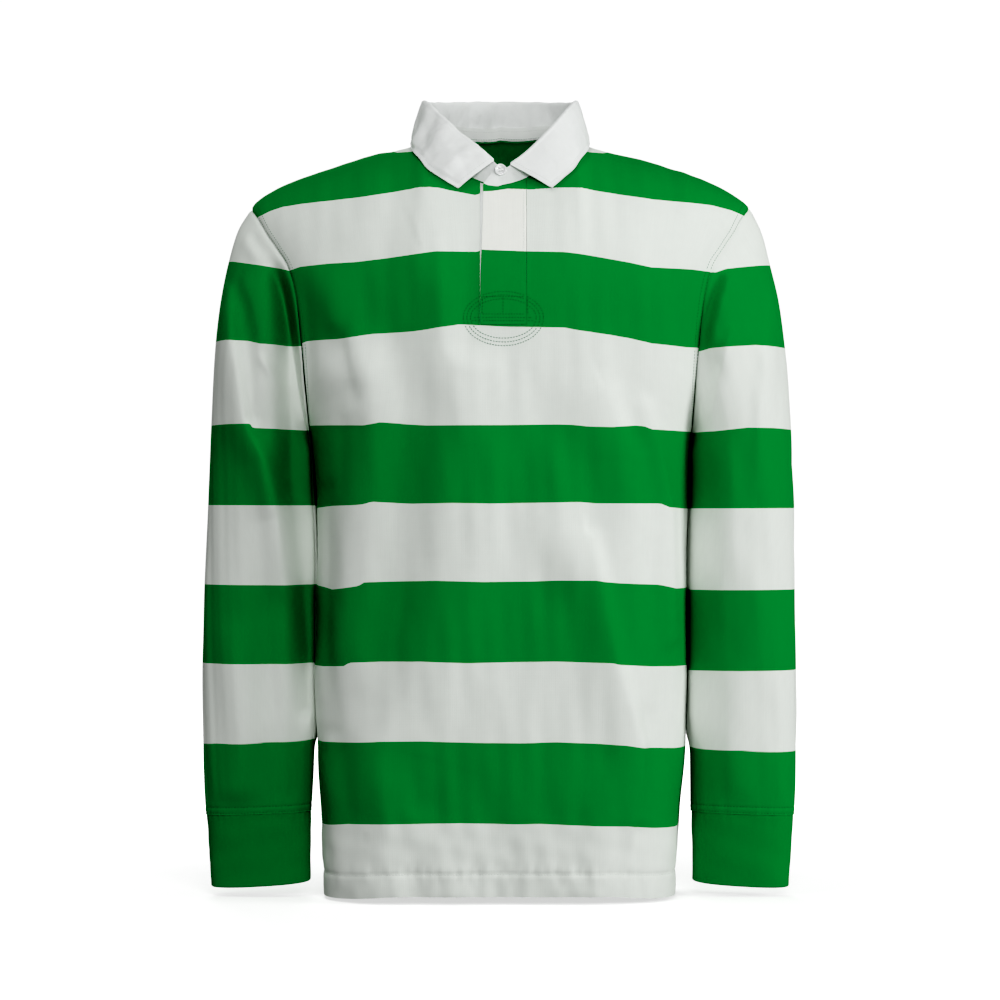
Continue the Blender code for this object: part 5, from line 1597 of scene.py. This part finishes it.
        def up_edge(way: int, rows: Iterable[int]) -> Line:
            near = [g[:, ::way][list(rows), :40].swapaxes(0, 1) for g in (grid, ways)]
            return line_across(tuple(near), down_columns(near[0]), inset, range(near[0].shape[1]))

        low = int(np.argmin(np.abs(to_edge[:, 0] - inset)))
        skip = int(np.searchsorted(lengths_along(grid[-1]), inset)) + 1
        foot = line_across((grid, ways), -to_edge, -inset, range(skip, grid.shape[1] - skip))
        parts = (up_edge(1, range(2, low + 1)), foot, up_edge(-1, range(low, 1, -1)))
        return tuple(np.concatenate(same) for same in zip(*parts))


@dataclass
class NeckTape:
    """The tape that covers the neck seam inside the collar, against the stand."""

    collar: Collar
    height: float = 0.0125
    wall: float = 0.0008
    turn: float = 62.0  # where it starts and ends, in degrees from the front
    gap: float = 0.0003

    def make(self, material: Material) -> Piece:
        """Builds the tape, a little puckered by its two rows of stitches."""
        turns = self.collar.low
        covered = (turns > self.turn) & (turns < 360.0 - self.turn)
        outward = self.collar.outward(np.radians(turns[covered]))
        foot, top = self.collar.grid[0, covered], self.collar.grid[9, covered]
        rise = unit(top - foot)
        low = foot + rise * 2 * self.gap - outward * self.gap
        shares = np.linspace(0.0, 1.0, 11)
        outside = np.array([low + rise * self.height * s for s in shares])
        along = turns[covered] * 0.0013
        puff = 1 + 0.5 * drift(along, 0 * along, 0.012, 1.0, 91)
        pillow = 0.00035 * np.sin(pi * shares)[:, None] * puff[None]
        flat = np.stack(np.broadcast_arrays(along[None, :], (shares * self.height)[:, None]), axis=-1)
        inside = outside - outward[None] * (self.wall + pillow)[..., None]
        self.line = {s: inside[i] for i, s in enumerate(shares.round(1))}
        self.ways = -outward
        return ClothGrid(outside, inside, flat).make("neck_seam_tape", material)


# ---- button ----


@dataclass
class NeckButton:
    """A turned four-hole button, sewn on through its holes."""

    collar: Collar
    x: float = 0.0005
    z: float = -0.0267
    radius: float = 0.0058
    thick: float = 0.0022
    hole: float = 0.00072  # a hole's radius, and how far it lies from the middle, across and up
    hole_out: float = 0.00145
    rings: int = 40
    spokes: int = 72

    def height(self, r: Array, a: Array) -> Array:
        """The face of the button: a rolled rim round a shallow dish, with four holes."""
        profile = smooth_curve(
            np.array([0.0, 0.50, 0.62, 0.74, 0.86, 0.95, 1.0]) * self.radius,
            np.array([0.62, 0.62, 0.72, 0.94, 1.0, 0.88, 0.62]) * self.thick,
        )
        face = profile(r)
        x, y = r * np.cos(a), r * np.sin(a)
        far = np.hypot(np.abs(x) - self.hole_out, np.abs(y) - self.hole_out)
        return face - 0.58 * self.thick * (1 - fade((far / self.hole - 0.75) / 0.35))

    def make(self, finishes: Wardrobe) -> list[Piece]:
        """Builds the button and its thread."""
        a = np.arange(self.spokes) * 2 * pi / self.spokes
        radii = np.linspace(0.0, self.radius, self.rings + 1)[1:]
        levels = [(r, self.height(np.full_like(a, r), a)) for r in radii]
        levels += [(self.radius, 0 * a + 0.35 * self.thick), (0.86 * self.radius, 0 * a)]
        rings = [np.stack([r * np.cos(a), r * np.sin(a), z], axis=1) for r, z in levels]
        centre = np.array([[0.0, 0.0, float(self.height(np.array(0.0), np.array(0.0)))], [0.0, 0.0, 0.0]])
        points = np.concatenate(rings + [centre])
        n, top, low = self.spokes, len(rings) * self.spokes, len(rings) * self.spokes + 1
        faces: list = [[top, k, (k + 1) % n] for k in range(n)]
        faces += grid_quads(np.ones((len(rings) - 1, n)), n)[:, [0, 3, 2, 1]].tolist()
        last = (len(rings) - 1) * n
        faces += [[low, last + (k + 1) % n, last + k] for k in range(n)]
        strands: list[Line] = []
        over = 0.66 * self.thick
        for side in (-1, 1):
            for shift in (-0.00022, 0.00022):
                ends = np.linspace(-1.0, 1.0, 9)
                aside, up = 0 * ends + side * self.hole_out + shift, over + 0.00025 * (1 - ends**2)
                line = np.stack([ends * self.hole_out, aside, up], axis=1)
                strands.append((line, np.tile([0.0, 0.0, 1.0], (9, 1))))
        turn, foot = self.stand()
        placed = points @ turn.T + foot
        button = new_piece("neck_button", placed, faces, finishes.pearl)
        rows = [(line @ turn.T + foot, ways @ turn.T) for line, ways in strands]
        strand = StitchRow(stitch=0.01, thread=0.00019, rings=9, gap=0.0)
        thread = sew("neck_button_thread", rows, finishes.white_thread, strand)
        return [button, thread]

    def stand(self) -> tuple[Array, Array]:
        """The button's tilt and place, against the outside of the stand's upper end."""
        middle = np.array([np.arcsin(self.x / FORM.neck_half)])
        foot = self.collar.seam(middle, True)[0]
        top = self.collar.stand_top(middle, np.array([1]))[0]
        top[1] -= self.collar.lap
        slope = (top[1] - foot[1]) / (top[2] - foot[2])
        tilt = np.arctan(slope)
        y = foot[1] + slope * (self.z - foot[2]) - 2 * self.collar.gap / np.cos(tilt)
        angle = radians(90) - tilt
        turn = np.array([[1, 0, 0], [0, cos(angle), -sin(angle)], [0, sin(angle), cos(angle)]])
        return turn, np.array([self.x, y, self.z])


# ---- topstitching ----


def runs(marks: Array) -> list[Array]:
    """The numbers of the marks that are alike and stand together, where more than two do."""
    parts = np.split(np.arange(len(marks)), np.nonzero(np.diff(marks.astype(int)))[0] + 1)
    return [run for run in parts if len(run) > 2]


@dataclass
class Topstitching:
    """Every row of stitches that shows, each laid on the cloth that it holds."""

    front: Panel
    back: Panel
    sleeves: dict[Side, Sleeve]
    collar: Collar
    placket: Placket
    finishes: Wardrobe
    armhole_insets: tuple[float, ...] = (0.0012, 0.0072)
    hem_inset: float = 0.0215
    facing: float = 0.0095  # from the vent's edge to its facing's row, and how much more at the top
    facing_more: float = 0.012
    tack_insets: tuple[float, ...] = (0.0012, 0.0027, 0.0042, 0.0057)
    strip_row: tuple[float, ...] = (0.0225, -0.104, -0.048)  # x of the row on the strip, and its two ends
    foot_stitch: float = 0.0026
    foot_middle: tuple[float, ...] = (0.0033, -0.1690)
    # half width of each oval round the placket's foot, and how far it goes down; above, each is a little less
    foot_ovals: tuple[Row, ...] = ((0.0375, 0.0262), (0.0342, 0.0228), (0.0308, 0.0192))
    foot_less: float = 0.0015
    # the box and bars inside them: x and z of both ends, and how many places between them
    foot_box: tuple = (
        ((-0.0165, -0.1485), (-0.0165, -0.1655), 12), ((-0.0165, -0.1655), (0.0265, -0.1655), 24),
        ((-0.0250, -0.1688), (0.0300, -0.1688), 28), ((-0.0270, -0.1718), (0.0320, -0.1718), 28),
        ((0.0262, -0.1655), (0.0262, -0.1500), 12), ((0.0030, -0.1500), (0.0030, -0.1650), 10),
        ((-0.0165, -0.1492), (0.0262, -0.1492), 24),
    )

    @staticmethod
    def by_stripe(rows: list[Line]) -> tuple[list, list]:
        """The rows parted where the cloth changes its colour: first those on green, then those on white."""
        green, white = [], []
        for line, ways in rows:
            number = stripe_number(line[:, 2], edge_heights(FRONT_STRIPES, line[:, 0]), 0)
            on_green = np.floor(number) % 2 == 0
            for run in runs(on_green):
                (green if on_green[run[0]] else white).append((line[run], ways[run]))
        return green, white

    def armholes(self) -> dict[Side, list[Piece]]:
        """Two rows on the body beside each armhole seam, in front and behind."""
        made = {}
        for side in Side:
            green, white = self.by_stripe([
                panel.line_from_edge(side is Side.RIGHT, inset, panel.first + 2, len(panel.grid) - 1)
                for panel in (self.front, self.back) for inset in self.armhole_insets
            ])
            word = side.name.lower()
            made[side] = [
                sew(f"armhole_stitches_{word}_on_green", green, self.finishes.dark_thread, StitchRow()),
                sew(f"armhole_stitches_{word}_on_white", white, self.finishes.green_thread, StitchRow()),
            ]
        return made

    def hem(self) -> Piece:
        """One row round the hem, front and back."""
        rows = [
            line_across((p.grid, p.normals), p.up, self.hem_inset, range(2, p.grid.shape[1] - 2))
            for p in (self.front, self.back)
        ]
        return sew("hem_stitches", rows, self.finishes.white_thread, StitchRow(stitch=0.0028))

    def vents(self) -> Piece:
        """The curved row that holds each vent's facing, and its bar tack."""
        rows = []
        for panel in (self.front, self.back):
            foot, last, tack = (
                int(np.argmin(np.abs(panel.levels - level)))
                for level in (FORM.hem + FORM.hem_turn, FORM.vent_top - 0.004, FORM.vent_top)
            )
            share = (panel.levels[foot:last] - FORM.hem) / (FORM.vent_top - FORM.hem)
            insets = [*(self.facing + self.facing_more * fade((share - 0.35) / 0.6))]
            for right in (True, False):
                curve = [
                    panel.line_from_edge(right, inset, foot + i, foot + i + 1)
                    for i, inset in enumerate(insets)
                ]
                rows.append(tuple(np.concatenate(same) for same in zip(*curve)))
                across = [panel.line_from_edge(right, inset, tack, tack + 1) for inset in self.tack_insets]
                bar, ways = (np.concatenate(same) for same in zip(*across))
                rows += [(bar + (0.0, 0.0, shift), ways) for shift in (0.0, 0.0008, 0.0016)]
        return sew("vent_stitches", rows, self.finishes.white_thread, StitchRow(stitch=0.0026))

    def cuffs(self) -> list[Piece]:
        """Two rows round each sleeve, above the cuff's seam."""
        rows = {side: [sleeve.line_round(row) for row in CUFF_ROWS] for side, sleeve in self.sleeves.items()}
        return [
            sew(f"cuff_stitches_{side.name.lower()}", rows[side], self.finishes.dark_thread, StitchRow())
            for side in rows
        ]

    def placket_rows(self) -> list[Piece]:
        """A row beside the strip's sewn edge, and the stitched oval that holds its foot."""
        cloth = Draper(self.front.grid, None, -1)
        over = Draper(self.placket.over, None, -1)
        x, low, high = self.strip_row
        z = np.linspace(low, high, 30)
        seam_row = over.lay(np.stack([x + 0 * z, z], axis=1))
        below, above = np.radians(np.linspace(178.0, 362.0, 70)), np.radians(np.linspace(0.0, 180.0, 60))
        ovals = [
            self.foot_middle + np.stack([reach * np.cos(turns), rise * np.sin(turns)], axis=1)
            for reach, drop in self.foot_ovals
            for turns, rise in ((below, drop), (above, drop - self.foot_less))
        ]
        box = [np.linspace(start, end, count) for start, end, count in self.foot_box]
        laid = []
        for line in ovals + box:
            x, z = line.T
            inside = (x > FORM.slot_right + MM) & (x < FORM.slot_left - MM) & (z > FORM.slot_foot)
            laid += [(over if inside[run[0]] else cloth).lay(line[run]) for run in runs(inside)]
        green, white = self.by_stripe([row for row in laid if len(row[0]) > 2])
        thin, thick = StitchRow(self.foot_stitch, 0.00036), StitchRow(self.foot_stitch, 0.00042)
        return [
            sew("placket_seam_stitches", [seam_row], self.finishes.white_thread, StitchRow()),
            sew("placket_foot_stitches_on_green", green, self.finishes.dark_thread, thin),
            sew("placket_foot_stitches_on_white", white, self.finishes.green_thread, thick),
        ]

    def collar_rows(self) -> Piece:
        """A row round the leaf's edge."""
        line = self.collar.leaf_line(self.collar.row_inset)
        row = StitchRow(stitch=0.0025, thread=0.00016)
        return sew("collar_stitches", [line], self.finishes.white_thread, row)


# ---- studio ----


@dataclass
class Studio:
    """White paper, soft lamps, and the camera where the photograph was taken from."""

    floor: float = -0.7218
    camera_far: float = 4.0
    camera_height: float = -0.34
    view_width: float = 0.97  # what the camera sees across at the shirt's middle
    sensor: float = 36.0
    sky: float = 0.13
    sky_seen: float = 1.02  # the sky's strength where the camera looks at it
    # each lamp's name, place, what it is turned towards, size and power
    lamps: tuple = (
        ("key_lamp", (2.79, -0.93, 0.05), (0.0, 0.0, -0.30), 1.3, 38.0),
        ("front_lamp", (0.3, -2.9, 0.50), (0.0, 0.0, -0.36), 1.1, 35.0),
        ("top_lamp", (-0.85, -0.75, 2.50), (0.0, 0.0, -0.30), 1.3, 16.0),
        ("back_lamp", (-0.5, 2.8, 0.95), (0.0, 0.0, -0.36), 1.4, 34.0),
    )
    # how the photograph renders light: deep shadows, and soft highlights that reach white late
    film: tuple[tuple[float, float], ...] = (
        (0.03, 0.004), (0.05, 0.0207), (0.08, 0.0667), (0.12, 0.1337), (0.20, 0.2588),
        (0.30, 0.393), (0.40, 0.5085), (0.56, 0.668), (0.80, 0.861),
    )

    def lamp(self, name: str, place: Row, aim: Row, size: float, power: float) -> None:
        """A large soft lamp at a place, turned towards another."""
        light = bpy.data.lights.new(name, "AREA")
        light.shape = "DISK"
        light.size = size
        light.energy = power
        lamp = bpy.data.objects.new(name, light)
        lamp.location = place
        lamp.rotation_euler = (Vector(aim) - Vector(place)).to_track_quat("-Z", "Y").to_euler()
        bpy.context.scene.collection.objects.link(lamp)

    def make(self) -> None:
        """Sets up floor, sky, lamps and camera."""
        scene = bpy.context.scene
        paper = StudioPaper().make("white_background_paper")
        rings, spokes, far = 14, 48, 9.0
        turns = [2 * pi * k / spokes for k in range(spokes)]
        points = [(0.0, 0.0, self.floor)]
        for reach in (far * (i / rings) ** 2.2 for i in range(1, rings + 1)):
            points += [(reach * cos(turn), reach * sin(turn), self.floor) for turn in turns]
        faces = [[0, 1 + k, 1 + (k + 1) % spokes] for k in range(spokes)]
        faces += (1 + grid_quads(np.ones((rings - 1, spokes)), spokes)[:, [0, 3, 2, 1]]).tolist()
        mesh = bpy.data.meshes.new("floor_paper")
        mesh.from_pydata(points, [], faces)
        mesh.materials.append(paper)
        floor = bpy.data.objects.new("floor_paper", mesh)
        floor.visible_diffuse = False  # the paper's glow doesn't light the shirt from below
        scene.collection.objects.link(floor)
        world = bpy.data.worlds.new("white_studio")
        world.use_nodes = True
        scene.world = world
        tree = world.node_tree
        seen = add_node(tree, "LightPath").outputs["Is Camera Ray"]
        strength = add_node(tree, "MapRange", {0: seen, 3: self.sky, 4: self.sky_seen})
        feed(tree.nodes["Background"], {0: (1.0, 1.0, 1.0, 1.0), 1: strength})
        for lamp in self.lamps:
            self.lamp(*lamp)
        camera = bpy.data.cameras.new("photograph_camera")
        camera.sensor_width = self.sensor
        camera.lens = self.sensor * self.camera_far / self.view_width
        placed = bpy.data.objects.new("photograph_camera", camera)
        placed.location = (0.0, -self.camera_far, self.camera_height)
        placed.rotation_euler = (radians(90), 0.0, 0.0)
        scene.collection.objects.link(placed)
        scene.camera = placed
        scene.view_settings.view_transform = "Standard"
        scene.view_settings.look = "None"
        scene.view_settings.use_curve_mapping = True
        film = scene.view_settings.curve_mapping
        film.tone = "FILMLIKE"
        for x, y in self.film:
            film.curves[3].points.new(x, y)
        film.update()


# ---- the shirt ----


def main() -> None:
    """Builds and dresses the shirt, piece by piece."""
    logging.basicConfig(level=logging.INFO, format="%(name)s: %(message)s")
    Studio().make()
    finishes = Wardrobe()
    front = Panel(Face.FRONT, FRONT_CREASES, 11)
    back = Panel(Face.BACK, BACK_CREASES, 21)
    sleeves = {
        Side.RIGHT: Sleeve(Side.RIGHT, front, back, RIGHT_SLEEVE_CREASES, 31, seam_dip=0.0020),
        Side.LEFT: Sleeve(Side.LEFT, front, back, LEFT_SLEEVE_CREASES, 41),
    }
    pieces = {}
    pieces["front"] = front.make("front_panel", finishes.jersey)
    pieces["back"] = back.make("back_panel", finishes.jersey)
    placket = Placket(front)
    pieces["placket_over"], pieces["placket_under"] = placket.make(finishes)
    for side, sleeve in sleeves.items():
        word = side.name.lower()
        pieces[f"sleeve_{word}"] = sleeve.make(f"{word}_sleeve", finishes.jersey)
        pieces[f"cuff_{word}"] = Cuff(side, 51 + side.value).make(f"{word}_cuff", finishes.cuff_jersey)
    collar = Collar(front, back, placket.over)
    pieces["collar"] = collar.make(finishes.twill)
    tape = NeckTape(collar)
    pieces["neck_tape"] = tape.make(finishes.tape)
    button, thread = NeckButton(collar).make(finishes)
    pieces["button_neck"] = button
    stitching = Topstitching(front, back, sleeves, collar, placket, finishes)
    arms = stitching.armholes()
    hem, vents = stitching.hem(), stitching.vents()
    cuff_right, cuff_left = stitching.cuffs()
    placket_seam, foot_green, foot_white = stitching.placket_rows()
    collar_rows = stitching.collar_rows()
    tape_row = StitchRow(stitch=0.0025, thread=0.0002)
    tape_rows = sew("neck_tape_stitches", [(tape.line[0.7], tape.ways)], finishes.white_thread, tape_row)
    seam_row = StitchRow(stitch=0.0025, thread=0.00022, gap=0.0003)
    seam_rows = sew("neck_seam_stitches", [(tape.line[0.1], tape.ways)], finishes.green_thread, seam_row)

    slots = {
        "cuff_right": "green_cuff", "cuff_left": "green_cuff", "button_neck": "pearl_button",
        **dict.fromkeys(("collar", "neck_tape", "placket_under"), "white_twill"),
    }
    for node, piece in pieces.items():
        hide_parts(node)
        slots.get(node, "striped_jersey")
        LOG.info("%s stands for %s, %d faces", piece.name, node, len(piece.data.polygons))
    right_arm, left_arm = arms[Side.RIGHT], arms[Side.LEFT]
    extras = {
        "striped_jersey": (*right_arm, *left_arm, hem, vents, placket_seam, foot_green, foot_white),
        "green_cuff": (cuff_right, cuff_left),
        "white_twill": (collar_rows, tape_rows, seam_rows, thread),
    }
    for slot, stitches in extras.items():
        for extra in stitches:
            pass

    for word, rows, other in (("right", right_arm, cuff_right), ("left", left_arm, cuff_left)):
        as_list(rows)

    bpy.context.view_layer.update()


if __name__ == "__main__":
    main()
